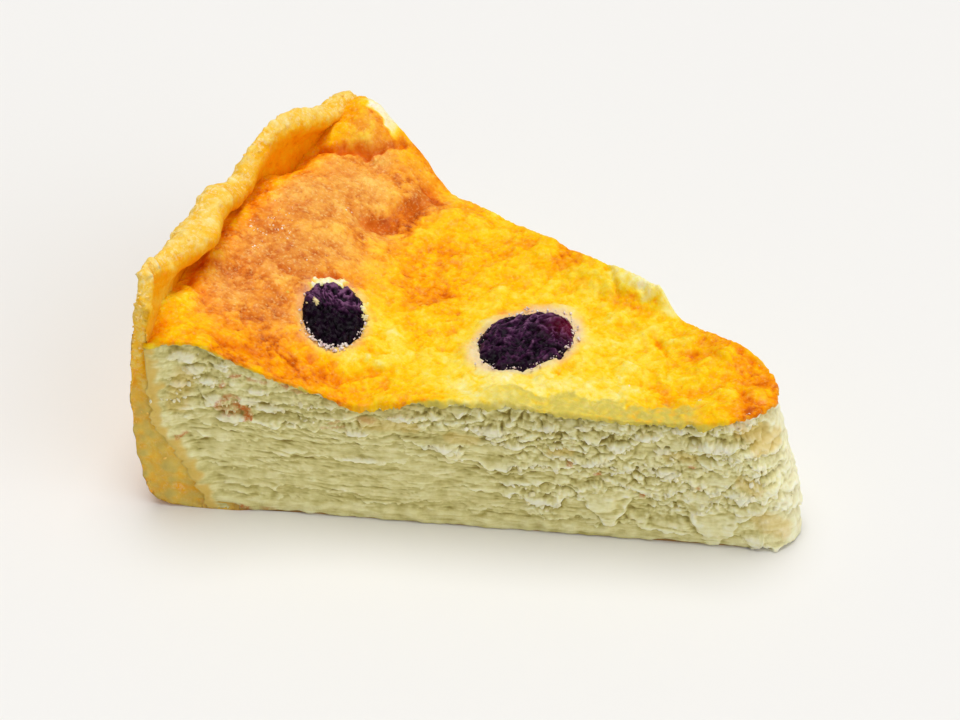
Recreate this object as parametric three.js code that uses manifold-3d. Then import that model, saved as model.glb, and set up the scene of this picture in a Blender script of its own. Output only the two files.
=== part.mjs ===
// A slice of baked cheesecake: a pastry shell with a tall uneven rim and a thin base, a pale
// filling with a lumpy baked top, and two berries sunk into the top.
//
// Millimetres, +Z up. The slice is symmetric about the XZ plane: its blunt tip points along +X,
// the pastry rim stands at -X, and the cut faces are on -Y (near) and +Y (far). Inside this file
// most sizes are given round the centre of the whole cake, which lies past the tip on the X axis:
// "radius" is the distance from that centre, and "bearing" is the angle seen from it, 0 along the
// middle of the slice, negative towards the near cut and positive towards the far cut.

import * as THREE from "three";
import { mergeVertices } from "three/addons/utils/BufferGeometryUtils.js";
import Module from "manifold-3d";

const wasm = await Module();
wasm.setup();

// ---- Driving dimensions ----

const CAKE_RADIUS = 125; // of the whole cake, over its pastry
const CUT_ANGLE = 37; // between the two cut faces, degrees
const TIP_RADIUS = 14; // from the cake's centre to the foot of the blunt tip
const TIP_LEAN = { by: 7, curve: 1.7 }; // the tip's top edge lies this much behind its foot
const GAP = 0.45; // between pieces that touch

const BASE_THICKNESS = 1.6; // pastry under the filling
const WALL_TOP_THICKNESS = 4; // pastry wall above its heel
const HEEL = { width: 8.3, height: 18.5, curve: 1.3 }; // the wall's inner face swells inwards
const FOOT_ROUNDING = { width: 10, height: 3.2 }; // sagged outer corner at the base
const WALL_LEAN = { widestAt: 20, over: 17, by: 1.6 }; // the outer face leans in off its widest
const CREST_HEIGHT = 43; // top of the rim
const CREST_ROUNDING = 2.2;

const SKIN_HEIGHT = 27; // baked top over most of the slice
const SKIN_RISE = { from: 88, to: 117, by: 7 }; // the top climbs towards the rim
const GROOVE = { radius: 121, width: 2.8, depth: 3.2 }; // where the top has shrunk off the rim
const TEAR_DEPTH = 0.7; // of the torn relief on the cut faces
const TEAR_SMOOTH = { from: 50, to: 105, least: 0.45 }; // shallower towards the rim

// Lifts and dips of the baked top: centre, width and height.
const SWELLS = [
  { x: -38, y: -36, width: 7, lift: 2.2 }, // shoulder at the near end of the rim
  { x: -47, y: -29, width: 5, lift: 1 }, // lump against the rim, near end
  { x: -12, y: -27.5, width: 6, lift: -1.2 }, // low place in the near edge
  { x: -1, y: -24, width: 6, lift: 1.1 },
  { x: 10, y: -19, width: 6, lift: 1.6 },
  { x: 34, y: -10, width: 8, lift: -0.3 },
  { x: 43, y: -6, width: 6, lift: 1.4 },
  { x: -40, y: 9, width: 10, lift: 1.2 }, // the browned swelling behind the first berry
  { x: -33, y: -4, width: 11, lift: 1.8 },
  { x: -30, y: 14, width: 4.5, lift: -1.6 }, // browned hollow
  { x: -44, y: 34, width: 6.5, lift: 4.4 }, // lump against the rim, far end
  { x: -38, y: 25.5, width: 4, lift: -2.2 }, // crease in front of that lump
  { x: -25, y: 31, width: 5, lift: -3 }, // notch in the far edge
  { x: -20, y: 22, width: 6, lift: 1 },
  { x: -6, y: 20, width: 7, lift: 1 },
  { x: -1, y: 22.5, width: 5.5, lift: 1.2 }, // far edge, beside and past the second berry
  { x: 7, y: 20.5, width: 5, lift: 2 },
  { x: 13.5, y: 18.6, width: 4.2, lift: 2.8 },
  { x: 18.6, y: 16.8, width: 3.4, lift: 3.3 },
  { x: 22.4, y: 15.8, width: 2.2, lift: 3.1 },
  { x: 38, y: 9, width: 5, lift: 1.6 },
  { x: -25, y: -12, width: 10, lift: 1.6 }, // round the first berry
  { x: 6, y: -4, width: 11, lift: 0.8 }, // round the second berry
];

// The rim's crest along its length: bearing in degrees, width, and how far it rises or falls.
const CREST_SWELLS = [
  { bearing: -15.5, width: 3.4, lift: 4 },
  { bearing: 1.2, width: 2.3, lift: -3.4 },
  { bearing: 13, width: 2.2, lift: -0.6 },
  { bearing: 17, width: 1.2, lift: 0.8 },
];
const CREST_FALL = { from: 9, by: 6.4, over: 9.5, curve: 1.5 }; // sinks towards the far cut
const CREST_END = { width: 2.2, drop: 3.5 }; // and is broken down at the near cut

// Where the rim curls inwards (+) or stands thin (-), and the heights between which it starts to.
const LIP_START = { from: 35, to: 41 };
const LIP_SWELLS = [
  { bearing: -7, width: 3.2, lift: 4.6 },
  { bearing: -0.5, width: 3.2, lift: 2.4 },
  { bearing: -14, width: 2.4, lift: -1 },
  { bearing: 8, width: 3, lift: -1 },
  { bearing: 14, width: 3, lift: 2 },
];

// Open grooves between rim and baked top.
const GROOVE_SWELLS = [
  { bearing: -8, width: 4.5, lift: 0.7 },
  { bearing: 9.5, width: 2.6, lift: 1 },
];

// Each berry: its place and outline in plan, how far its crown stands above its widest level and
// its foot lies below it, and how far the crown stands proud of the baked top.
const BERRIES = [
  {
    name: "berry_1",
    x: -24.7, y: -13.2, length: 15.3, width: 11.2, crown: 3, foot: 8,
    turn: 112, proud: 0.7, folds: 5, foldDepth: 0.05, phase: 0.6,
  },
  {
    name: "berry_2",
    x: 6, y: -3.2, length: 19.6, width: 14.2, crown: 3, foot: 8.5,
    turn: 66, proud: 0.9, folds: 6, foldDepth: 0.05, phase: 2.1,
  },
];

// ---- Mesh fineness ----

const COLUMNS = 32; // across the slice, from one cut face to the other
const FILLING_ROWS = 38; // from the rim to the tip
const FILLING_LAYERS = 9; // from the base to the top
const BERRY_DETAIL = 4;

// ---- Small helpers ----

const rad = THREE.MathUtils.degToRad;
const deg = THREE.MathUtils.radToDeg;
const { lerp, smoothstep } = THREE.MathUtils;
const HALF_CUT = rad(CUT_ANGLE / 2);
const CENTRE_X = (CAKE_RADIUS + TIP_RADIUS) / 2; // so that the slice is centred on the origin

const bell = (distance, width) => Math.exp(-((distance / width) ** 2));

// The sum of a list of swells at a bearing in degrees.
function swellsAlong(list, bearing) {
  return list.reduce((sum, s) => sum + s.lift * bell(bearing - s.bearing, s.width), 0);
}

// Plan position of a radius and a bearing in radians.
function planPoint(radius, bearing) {
  return [CENTRE_X - radius * Math.cos(bearing), radius * Math.sin(bearing)];
}

// A closed mesh turned so that its faces point out.
function closedGeometry(points, triangles) {
  const corner = (i) => new THREE.Vector3(...points[i]);
  const volume = triangles.reduce(
    (sum, [a, b, c]) => sum + corner(a).dot(corner(b).cross(corner(c))),
    0,
  );
  const index = volume < 0 ? triangles.map(([a, b, c]) => [a, c, b]) : triangles;
  const geometry = new THREE.BufferGeometry();
  geometry.setAttribute("position", new THREE.Float32BufferAttribute(points.flat(), 3));
  geometry.setIndex(index.flat());
  return geometry;
}

// Two triangles for each step round two rings of equal length that start at `low` and `high`.
function ringBand(low, high, count) {
  const triangles = [];
  for (let i = 0; i < count; i += 1) {
    const next = (i + 1) % count;
    triangles.push([low + i, low + next, high + next]);
    triangles.push([low + i, high + next, high + i]);
  }
  return triangles;
}

// ---- Pastry shell ----

// Radius of the blunt tip's outline at a bearing: a circle that touches both cut faces.
function tipRadius(bearing, z) {
  const lean = TIP_LEAN.by * Math.max(0, z / SKIN_HEIGHT) ** TIP_LEAN.curve;
  const nearest = TIP_RADIUS + lean;
  const circleCentre = nearest / (1 - Math.sin(HALF_CUT));
  const circleRadius = circleCentre * Math.sin(HALF_CUT);
  const half = Math.sqrt(Math.max(0, circleRadius ** 2 - (circleCentre * Math.sin(bearing)) ** 2));
  return circleCentre * Math.cos(bearing) - half;
}

function crestHeight(bearing) {
  const b = deg(bearing);
  const past = Math.max(0, (b - CREST_FALL.from) / CREST_FALL.over);
  const fall = CREST_FALL.by * past ** CREST_FALL.curve;
  const broken = 1 - smoothstep(b, -CUT_ANGLE / 2, -CUT_ANGLE / 2 + CREST_END.width);
  return CREST_HEIGHT + swellsAlong(CREST_SWELLS, b) - fall - CREST_END.drop * broken;
}

function outerRadius(z) {
  return CAKE_RADIUS - WALL_LEAN.by * ((z - WALL_LEAN.widestAt) / WALL_LEAN.over) ** 2;
}

// The wall's inner face: a heel that swells into the filling, then a thin wall with an uneven lip.
function innerRadius(z, bearing) {
  const heel = HEEL.width * (1 - Math.min(1, z / HEEL.height) ** HEEL.curve);
  const lip = swellsAlong(LIP_SWELLS, deg(bearing)) * smoothstep(z, LIP_START.from, LIP_START.to);
  return CAKE_RADIUS - WALL_TOP_THICKNESS - heel - lip;
}

// The closed outline of the shell in the upright plane at a bearing, as [radius, z] points.
function shellOutline(bearing) {
  const crest = crestHeight(bearing);
  const shoulder = crest - CREST_ROUNDING;
  const outline = [];
  const FOOT_STEPS = 4;
  const footCentre = outerRadius(FOOT_ROUNDING.height) - FOOT_ROUNDING.width;
  for (let i = 0; i <= FOOT_STEPS; i += 1) {
    const turn = (i / FOOT_STEPS) * (Math.PI / 2);
    outline.push([
      footCentre + FOOT_ROUNDING.width * Math.sin(turn),
      FOOT_ROUNDING.height * (1 - Math.cos(turn)),
    ]);
  }
  const WALL_STEPS = 7;
  for (let i = 1; i <= WALL_STEPS; i += 1) {
    const z = lerp(FOOT_ROUNDING.height, shoulder, i / WALL_STEPS);
    outline.push([outerRadius(z), z]);
  }
  const outerTop = outerRadius(shoulder);
  const innerTop = innerRadius(shoulder, bearing);
  const CREST_STEPS = 4;
  for (let i = 1; i < CREST_STEPS; i += 1) {
    const turn = (i / CREST_STEPS) * Math.PI;
    outline.push([
      lerp(innerTop, outerTop, (1 + Math.cos(turn)) / 2),
      shoulder + CREST_ROUNDING * Math.sin(turn),
    ]);
  }
  const INNER_STEPS = 16;
  for (let i = 0; i <= INNER_STEPS; i += 1) {
    const z = lerp(shoulder, BASE_THICKNESS, i / INNER_STEPS);
    outline.push([innerRadius(z, bearing), z]);
  }
  outline.push([tipRadius(bearing, 0), BASE_THICKNESS]);
  outline.push([tipRadius(bearing, 0), 0]);
  return outline;
}

function pastryShell() {
  const points = [];
  const triangles = [];
  let ringLength = 0;
  for (let j = 0; j <= COLUMNS; j += 1) {
    const bearing = lerp(-HALF_CUT, HALF_CUT, j / COLUMNS);
    const outline = shellOutline(bearing);
    ringLength = outline.length;
    for (const [radius, z] of outline) {
      points.push([...planPoint(radius, bearing), z]);
    }
    if (j > 0) {
      triangles.push(...ringBand((j - 1) * ringLength, j * ringLength, ringLength));
    }
  }
  for (const [first, bearing, flip] of [
    [0, -HALF_CUT, true],
    [COLUMNS * ringLength, HALF_CUT, false],
  ]) {
    const flat = shellOutline(bearing).map(([radius, z]) => new THREE.Vector2(radius, z));
    for (const [a, b, c] of THREE.ShapeUtils.triangulateShape(flat, [])) {
      const face = [first + a, first + b, first + c];
      triangles.push(flip ? face.reverse() : face);
    }
  }
  return closedGeometry(points, triangles);
}

// ---- Filling ----

// Height of the baked top at a plan position.
function skinHeight(x, y) {
  const radius = Math.hypot(CENTRE_X - x, y);
  const bearing = deg(Math.atan2(y, CENTRE_X - x));
  const rise = SKIN_RISE.by * smoothstep(radius, SKIN_RISE.from, SKIN_RISE.to);
  const swell = SWELLS.reduce(
    (sum, s) => sum + s.lift * bell(Math.hypot(x - s.x, y - s.y), s.width),
    0,
  );
  const open = swellsAlong(GROOVE_SWELLS, bearing) * bell(radius - GROOVE.radius, GROOVE.width);
  return SKIN_HEIGHT + rise + swell - GROOVE.depth * open;
}

// Depth of the torn relief on a cut face: shallow ledges, rougher towards the tip and the top.
function tearDepth(radius, z, side) {
  const ledges = Math.sin(z * 1.1 + 1.7 * Math.sin(radius * 0.16 + side));
  const lumps = Math.sin(radius * 0.55 + side * 2) * Math.sin(z * 0.43 + radius * 0.21);
  const smooth = smoothstep(radius, TEAR_SMOOTH.from, TEAR_SMOOTH.to);
  const rough = lerp(1, TEAR_SMOOTH.least, smooth);
  return TEAR_DEPTH * rough * (0.5 + 0.3 * ledges + 0.2 * lumps);
}

// A point of the filling: `back` 0 at the rim to 1 at the tip, `across` -1 near cut to 1 far cut,
// `up` 0 at the base to 1 at the top. The radius and the height depend on each other, so they
// are settled in a few passes.
function fillingPoint(back, across, up) {
  const floor = BASE_THICKNESS + GAP;
  const straight = across * HALF_CUT;
  let z = lerp(floor, SKIN_HEIGHT, up);
  let radius = CAKE_RADIUS;
  let bearing = straight;
  const PASSES = 4;
  for (let pass = 0; pass < PASSES; pass += 1) {
    radius = lerp(innerRadius(z, straight) - GAP, tipRadius(straight, z), back);
    bearing = across * (HALF_CUT - tearDepth(radius, z, across) / radius);
    z = lerp(floor, skinHeight(...planPoint(radius, bearing)), up);
  }
  return [...planPoint(radius, bearing), z];
}

// Grid places round the filling's outline, once round.
function outlinePlaces() {
  const places = [];
  for (let j = 0; j < COLUMNS; j += 1) {
    places.push([0, j]);
  }
  for (let i = 0; i < FILLING_ROWS; i += 1) {
    places.push([i, COLUMNS]);
  }
  for (let j = COLUMNS; j > 0; j -= 1) {
    places.push([FILLING_ROWS, j]);
  }
  for (let i = FILLING_ROWS; i > 0; i -= 1) {
    places.push([i, 0]);
  }
  return places;
}

function fillingBody() {
  const place = (i, j, up) => fillingPoint(i / FILLING_ROWS, (2 * j) / COLUMNS - 1, up);
  const points = [];
  const triangles = [];
  const outline = outlinePlaces();
  for (let layer = 0; layer <= FILLING_LAYERS; layer += 1) {
    for (const [i, j] of outline) {
      points.push(place(i, j, layer / FILLING_LAYERS));
    }
    if (layer > 0) {
      const low = (layer - 1) * outline.length;
      triangles.push(...ringBand(low, low + outline.length, outline.length));
    }
  }
  // The base is a fan, and the top is a grid whose edge is the last ring.
  const hub = points.push(place(FILLING_ROWS / 2, COLUMNS / 2, 0)) - 1;
  outline.forEach((_, i) => triangles.push([hub, (i + 1) % outline.length, i]));
  const topRing = FILLING_LAYERS * outline.length;
  const topIndex = new Map(outline.map(([i, j], n) => [`${i},${j}`, topRing + n]));
  for (let i = 1; i < FILLING_ROWS; i += 1) {
    for (let j = 1; j < COLUMNS; j += 1) {
      topIndex.set(`${i},${j}`, points.push(place(i, j, 1)) - 1);
    }
  }
  for (let i = 0; i < FILLING_ROWS; i += 1) {
    for (let j = 0; j < COLUMNS; j += 1) {
      const [a, b, c, d] = [[i, j], [i, j + 1], [i + 1, j + 1], [i + 1, j]].map(
        (at) => topIndex.get(at.join(",")),
      );
      triangles.push([a, b, c], [a, c, d]);
    }
  }
  return closedGeometry(points, triangles);
}

// ---- Berries ----

// A wrinkled, lobed berry about its own centre. `grow` is added all round.
function berryGeometry(berry, grow = 0) {
  const geometry = new THREE.IcosahedronGeometry(1, BERRY_DETAIL);
  geometry.deleteAttribute("normal");
  geometry.deleteAttribute("uv");
  const merged = mergeVertices(geometry, 1e-5);
  const position = merged.attributes.position;
  const point = new THREE.Vector3();
  for (let i = 0; i < position.count; i += 1) {
    point.fromBufferAttribute(position, i);
    const around = Math.atan2(point.y, point.x);
    const flatness = Math.hypot(point.x, point.y);
    const lobes = Math.sin(berry.folds * around + berry.phase) * flatness;
    const wrinkles = Math.sin(9 * point.x + berry.phase) * Math.sin(8 * point.y + 2) * point.z;
    point.multiplyScalar(1 + berry.foldDepth * (lobes + wrinkles));
    point.x *= berry.length / 2 + grow;
    point.y *= berry.width / 2 + grow;
    point.z *= (point.z > 0 ? berry.crown : berry.foot) + grow;
    position.setXYZ(i, point.x, point.y, point.z);
  }
  return merged;
}

// Where a berry sits: its crown stands `proud` of the baked top round it.
function berryMatrix(berry) {
  const widestLevel = skinHeight(berry.x, berry.y) + berry.proud - berry.crown;
  return new THREE.Matrix4()
    .makeRotationZ(rad(berry.turn))
    .setPosition(berry.x, berry.y, widestLevel);
}

// ---- Joining and cutting ----

function toManifold(geometry) {
  return new wasm.Manifold(
    new wasm.Mesh({
      numProp: 3,
      vertProperties: new Float32Array(geometry.attributes.position.array),
      triVerts: new Uint32Array(geometry.index.array),
    }),
  );
}

function fromManifold(solid) {
  const mesh = solid.getMesh();
  const geometry = new THREE.BufferGeometry();
  geometry.setAttribute("position", new THREE.Float32BufferAttribute(mesh.vertProperties, 3));
  geometry.setIndex(new THREE.Uint32BufferAttribute(mesh.triVerts, 1));
  return geometry;
}

// The filling with a socket for each berry.
function fillingWithSockets() {
  const sockets = BERRIES.map((berry) =>
    toManifold(berryGeometry(berry, GAP).applyMatrix4(berryMatrix(berry))),
  );
  const uncut = toManifold(fillingBody());
  return fromManifold(sockets.reduce((body, socket) => body.subtract(socket), uncut));
}

// ---- Materials ----

const MATERIALS = {
  pastry: { color: 0xe9b65a, roughness: 0.8, metalness: 0 },
  filling: { color: 0xf2c24a, roughness: 0.65, metalness: 0 },
  berry: { color: 0x35182f, roughness: 0.45, metalness: 0 },
};

// ---- The slice ----

function namedMesh(name, geometry, look) {
  geometry.computeVertexNormals();
  const mesh = new THREE.Mesh(geometry, new THREE.MeshStandardMaterial(MATERIALS[look]));
  mesh.name = name;
  return mesh;
}

function cheesecakeSlice() {
  const slice = new THREE.Group();
  slice.add(namedMesh("pastry_shell", pastryShell(), "pastry"));
  slice.add(namedMesh("filling", fillingWithSockets(), "filling"));
  for (const berry of BERRIES) {
    const mesh = namedMesh(berry.name, berryGeometry(berry), "berry");
    mesh.applyMatrix4(berryMatrix(berry));
    slice.add(mesh);
  }
  // The origin is the middle of the bounding box, at the level the slice rests on.
  slice.updateMatrixWorld(true);
  const box = new THREE.Box3().setFromObject(slice, true);
  const middle = box.getCenter(new THREE.Vector3());
  slice.position.set(-middle.x, -middle.y, -box.min.z);
  return slice;
}

export default cheesecakeSlice();
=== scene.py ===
import math

import bmesh
import bpy
import numpy as np
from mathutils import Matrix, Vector
from mathutils.geometry import delaunay_2d_cdt


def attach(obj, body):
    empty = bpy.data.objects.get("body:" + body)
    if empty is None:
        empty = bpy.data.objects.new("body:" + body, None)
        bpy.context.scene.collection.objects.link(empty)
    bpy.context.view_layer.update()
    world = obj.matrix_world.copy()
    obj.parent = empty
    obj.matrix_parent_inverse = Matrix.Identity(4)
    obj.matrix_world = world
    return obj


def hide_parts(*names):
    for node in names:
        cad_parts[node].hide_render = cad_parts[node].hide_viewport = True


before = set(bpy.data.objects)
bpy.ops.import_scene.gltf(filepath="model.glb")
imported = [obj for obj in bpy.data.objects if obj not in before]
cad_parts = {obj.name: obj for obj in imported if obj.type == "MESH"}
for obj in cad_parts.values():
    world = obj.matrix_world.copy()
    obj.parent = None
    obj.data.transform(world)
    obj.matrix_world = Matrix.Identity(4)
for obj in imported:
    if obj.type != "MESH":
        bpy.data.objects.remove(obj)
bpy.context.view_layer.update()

# A slice of baked cheesecake. Lengths below are millimetres until a mesh is made.
# "Radius" and "bearing" are measured from the middle of the whole cake, which lies past the
# blunt tip on the +X side. Bearing is 0 along the middle of the slice and negative on the near side.

MM = 0.001

# ---- Sizes of the slice ----

CAKE_RADIUS = 125.0
HALF_CUT_DEGREES = 18.5
HALF_CUT = math.radians(HALF_CUT_DEGREES)
SIN_HALF = math.sin(HALF_CUT)
COS_HALF = math.cos(HALF_CUT)
TIP_RADIUS = 14.0
TIP_LEAN = 7.0
TIP_CURVE = 1.7
CENTRE_X = (CAKE_RADIUS + TIP_RADIUS) / 2
FILLING_LAP = 0.35  # the filling is baked onto its pastry

BASE_THICKNESS = 1.6
WALL_TOP_THICKNESS = 4.0
HEEL_WIDTH = 8.3
HEEL_HEIGHT = 18.5
HEEL_CURVE = 1.3
FOOT_WIDTH = 10.0
FOOT_HEIGHT = 3.2
WALL_WIDEST_AT = 20.0
WALL_LEAN_OVER = 17.0
WALL_LEAN_BY = 1.6
CREST_HEIGHT = 42.3  # before the rolled lip is raised on it
CREST_ROUNDING = 2.2
LIP_HEIGHTS = (35, 41)  # the rolled lip swells inwards between these

SKIN_LEVEL = 27.0
SKIN_RISE_FROM = 88.0
SKIN_RISE_TO = 117.0
SKIN_RISE_BY = 7.0
GROOVE_RADIUS = 121.0
GROOVE_WIDTH = 2.8
GROOVE_DEPTH = 3.2

# x, y, width, lift of each swelling or dip of the baked top
SWELLS = (
    (-38, -36, 7, 2.2), (-47, -29, 5, 1), (-12, -27.5, 6, -1.2), (-1, -24, 6, 1.1), (10, -19, 6, 1.6),
    (34, -10, 8, -0.3), (43, -6, 6, 1.4), (-40, 9, 10, 1.2), (-33, -4, 11, 1.8), (-30, 14, 4.5, -1.6),
    (-44, 34, 6.5, 4.4), (-38, 25.5, 4, -2.2), (-25, 31, 5, -3), (-20, 22, 6, 1), (-6, 20, 7, 1),
    (-1, 22.5, 5.5, 1.2), (7, 20.5, 5, 2), (13.2, 18.8, 4.8, 2.6), (18.4, 17.2, 4.2, 3),
    (22.6, 16, 2.5, 3.3), (38, 9, 5, 1.6), (-25, -12, 10, 1.6), (6, -4, 11, 0.8),
)

# bearing in degrees, width, lift
CREST_SWELLS = ((-17.2, 3.4, 4.9), (1.2, 2.3, -3.4), (13, 2.2, -0.6), (17, 1.2, 0.8))
LIP_SWELLS = ((-7, 3.2, 4.6), (-0.5, 3.2, 2.4), (-14, 2.4, -1), (8, 3, -1), (14, 3, 2))
GROOVE_SWELLS = ((-8, 4.5, 0.7), (9.5, 2.6, 1))
CREST_FALL_FROM = 9.0  # degrees: from here the crest falls towards the far cut
CREST_FALL_BY = 6.4
CREST_END_WIDTH = 1.6  # degrees: the crest is broken off at the near cut
CREST_END_DROP = 2.6

# name, x, y, length, width, crown, foot, turn in degrees, proud
BERRIES = (
    ("berry_1", -24.7, -13.2, 15.3, 11.2, 3.0, 8.0, 112, 0.7),
    ("berry_2", 6.0, -3.2, 19.6, 14.2, 3.0, 8.5, 66, 0.9),
)


def smoothstep(x, low, high):
    t = np.clip((x - low) / (high - low), 0, 1)
    return t * t * (3 - 2 * t)


def bell(distance, width):
    return np.exp(-((distance / width) ** 2))


def mix(a, b, share):
    return a + (b - a) * share


def swells_along(swells, bearing):
    degrees = np.degrees(bearing)
    return sum(lift * bell(degrees - at, width) for at, width, lift in swells)


def tip_circle(z):
    """Distance from the cake's middle to the centre of the blunt tip's circle, and its radius."""
    nearest = TIP_RADIUS + TIP_LEAN * np.maximum(0, z / SKIN_LEVEL) ** TIP_CURVE
    centre = nearest / (1 - SIN_HALF)
    return centre, centre * SIN_HALF


def tip_radius(bearing, z):
    centre, ring = tip_circle(z)
    half = np.sqrt(np.maximum(0, ring**2 - (centre * np.sin(bearing)) ** 2))
    return centre * np.cos(bearing) - half


def crest_height(bearing):
    degrees = np.degrees(bearing)
    past = (degrees - CREST_FALL_FROM) / (HALF_CUT_DEGREES - CREST_FALL_FROM)
    fall = CREST_FALL_BY * np.maximum(0, past) ** 1.5
    broken = 1 - smoothstep(degrees, -HALF_CUT_DEGREES, CREST_END_WIDTH - HALF_CUT_DEGREES)
    return CREST_HEIGHT + swells_along(CREST_SWELLS, bearing) - fall - CREST_END_DROP * broken


def outer_radius(z):
    return CAKE_RADIUS - WALL_LEAN_BY * ((z - WALL_WIDEST_AT) / WALL_LEAN_OVER) ** 2


def inner_radius(z, bearing):
    heel = HEEL_WIDTH * (1 - np.clip(z / HEEL_HEIGHT, 0, 1) ** HEEL_CURVE)
    lip = swells_along(LIP_SWELLS, bearing) * smoothstep(z, *LIP_HEIGHTS)
    return CAKE_RADIUS - WALL_TOP_THICKNESS - heel - lip


def from_cake_middle(x, y):
    """Radius and bearing of a place."""
    return np.hypot(CENTRE_X - x, y), np.arctan2(y, CENTRE_X - x)


def distance_to(middle, x, y):
    return np.hypot(x - middle[0], y - middle[1])


def skin_height(x, y):
    radius, bearing = from_cake_middle(x, y)
    height = SKIN_LEVEL + SKIN_RISE_BY * smoothstep(radius, SKIN_RISE_FROM, SKIN_RISE_TO)
    for *middle, width, lift in SWELLS:
        height = height + lift * bell(distance_to(middle, x, y), width)
    opened = swells_along(GROOVE_SWELLS, bearing) * bell(radius - GROOVE_RADIUS, GROOVE_WIDTH)
    return height - GROOVE_DEPTH * opened


# ---- Repeatable noise ----
# The last number in each call of a noise is its seed: any whole number, another one for each use.

CUBE_EDGES = np.array(
    [
        (1, 1, 0), (-1, 1, 0), (1, -1, 0), (-1, -1, 0),
        (1, 0, 1), (-1, 0, 1), (1, 0, -1), (-1, 0, -1),
        (0, 1, 1), (0, -1, 1), (0, 1, -1), (0, -1, -1),
    ],
    float,
)
WORD = 0xFFFFFFFF


def lattice(cell, seed):
    """A repeatable whole number for each integer cell (n, 3)."""
    n = (cell[:, 0] * 0x8DA6B343) ^ (cell[:, 1] * 0xD8163841) ^ (cell[:, 2] * 0xCB1AB31F)
    n = (n ^ (seed * 0x9E3779B1)) & WORD
    n = ((n ^ (n >> 15)) * 0x2C1B3C6D) & WORD
    n = ((n ^ (n >> 12)) * 0x297A2D39) & WORD
    return n ^ (n >> 15)


def noise(points, seed):
    """Smooth noise at points (n, 3), about -1 to 1, with features about 1 apart."""
    cell = np.floor(points).astype(np.int64)
    part = points - cell
    ease = part * part * part * (part * (part * 6 - 15) + 10)
    total = np.zeros(len(points))
    for corner in np.ndindex(2, 2, 2):
        step = np.array(corner)
        slope = CUBE_EDGES[lattice(cell + step, seed) % 12]
        weight = np.prod(np.where(step == 1, ease, 1 - ease), axis=1)
        total += weight * ((part - step) * slope).sum(1)
    return total * 1.5


def layered(points, octaves, seed, keep=0.5):
    """Noise with finer and finer layers."""
    total = np.zeros(len(points))
    size = 1.0
    weight = 1.0
    whole = 0.0
    for octave in range(octaves):
        total += weight * noise(points * size, seed + octave)
        whole += weight
        weight *= keep
        size *= 2.03
    return total / whole


def waves(points, *terms):
    """A sum of noises. Each term is its weight, its frequency (one number or one per axis) and
    its seed."""
    return sum(weight * noise(points * frequency, seed) for weight, frequency, seed in terms)


def bumps(points, seed):
    """Soft scattered bumps about 1 apart, from 0 to about 1.2, each of its own height."""
    cell = np.floor(points).astype(np.int64)
    flat = not np.any(points[:, 2])
    total = np.zeros(len(points))
    for corner in np.ndindex(3, 3, 1 if flat else 3):
        here = cell + (np.array(corner) - (1, 1, 0 if flat else 1))
        jitter = np.stack([lattice(here, seed + k) / WORD for k in range(4)], axis=1)
        if flat:
            jitter[:, 2] = 0
        gap = ((here + jitter[:, :3] - points) ** 2).sum(1)
        total += (0.35 + 0.65 * jitter[:, 3]) * np.exp(-gap / 0.16)
    return total


def lumps_about(points, seed):
    """The scattered lump that each point (n, 3) of a plane lies in: how far it is from the crack
    to the next lump, its offset x and y from the lump's centre, and the lump's five random numbers
    from 0 to 1."""
    cell = np.floor(points).astype(np.int64)
    nearest = np.full(len(points), 9.0)
    second = nearest
    found = np.zeros((7, len(points)))
    for corner in np.ndindex(3, 3):
        here = cell + (corner[0] - 1, corner[1] - 1, 0)
        draws = np.array([lattice(here, seed + k) / WORD for k in range(5)])
        offset = points[:, :2].T - here[:, :2].T - draws[:2]
        gap = np.hypot(*offset)
        closer = gap < nearest
        second = np.where(closer, nearest, np.minimum(second, gap))
        nearest = np.where(closer, gap, nearest)
        found = np.where(closer, np.vstack([offset, draws]), found)
    return second - nearest, found[:2], found[2:]


def curds(points, seed):
    """Angular broken lumps about 1 apart, with cracks between them: each has a level or tilted
    top of its own height. About 0 to 1."""
    from_crack, (x, y), draws = lumps_about(points, seed)
    height = 0.2 + 0.7 * draws[2] + x * (draws[3] - 0.5) * 1.2 + y * (draws[4] - 0.65) * 1.4
    return height * smoothstep(from_crack, 0.0, 0.2)


def flat_points(x, y):
    return np.stack([x, y, np.zeros_like(x)], axis=1)


def distance_to_stroke(x, y, x0, y0, x1, y1):
    run = np.array([x1 - x0, y1 - y0])
    share = np.clip(((x - x0) * run[0] + (y - y0) * run[1]) / (run @ run), 0, 1)
    return np.hypot(x - x0 - share * run[0], y - y0 - share * run[1])


# ---- Meshes ----

def corners_of(points, triangles):
    return (points[triangles[:, k]] for k in range(3))


def outward(points, triangles):
    """The triangles of a closed mesh, turned to face out."""
    a, b, c = corners_of(points, triangles)
    volume = (a * np.cross(b, c)).sum()
    return triangles if volume > 0 else triangles[:, ::-1]


def sheet_triangles(rows, cols, joined=True, first=0):
    """Triangles of rows x cols points, with the last column joined to the first if joined."""
    i = np.arange(rows - 1)[:, None]
    j = np.arange(cols if joined else cols - 1)[None, :]
    k = (j + 1) % cols
    a = first + i * cols + j
    b = first + i * cols + k
    c = first + (i + 1) * cols + k
    d = first + (i + 1) * cols + j
    quads = [np.broadcast_to(q, a.shape).ravel() for q in (a, b, c, d)]
    return np.concatenate(
        [np.stack([quads[0], quads[1], quads[2]], 1), np.stack([quads[0], quads[2], quads[3]], 1)]
    )


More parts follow.
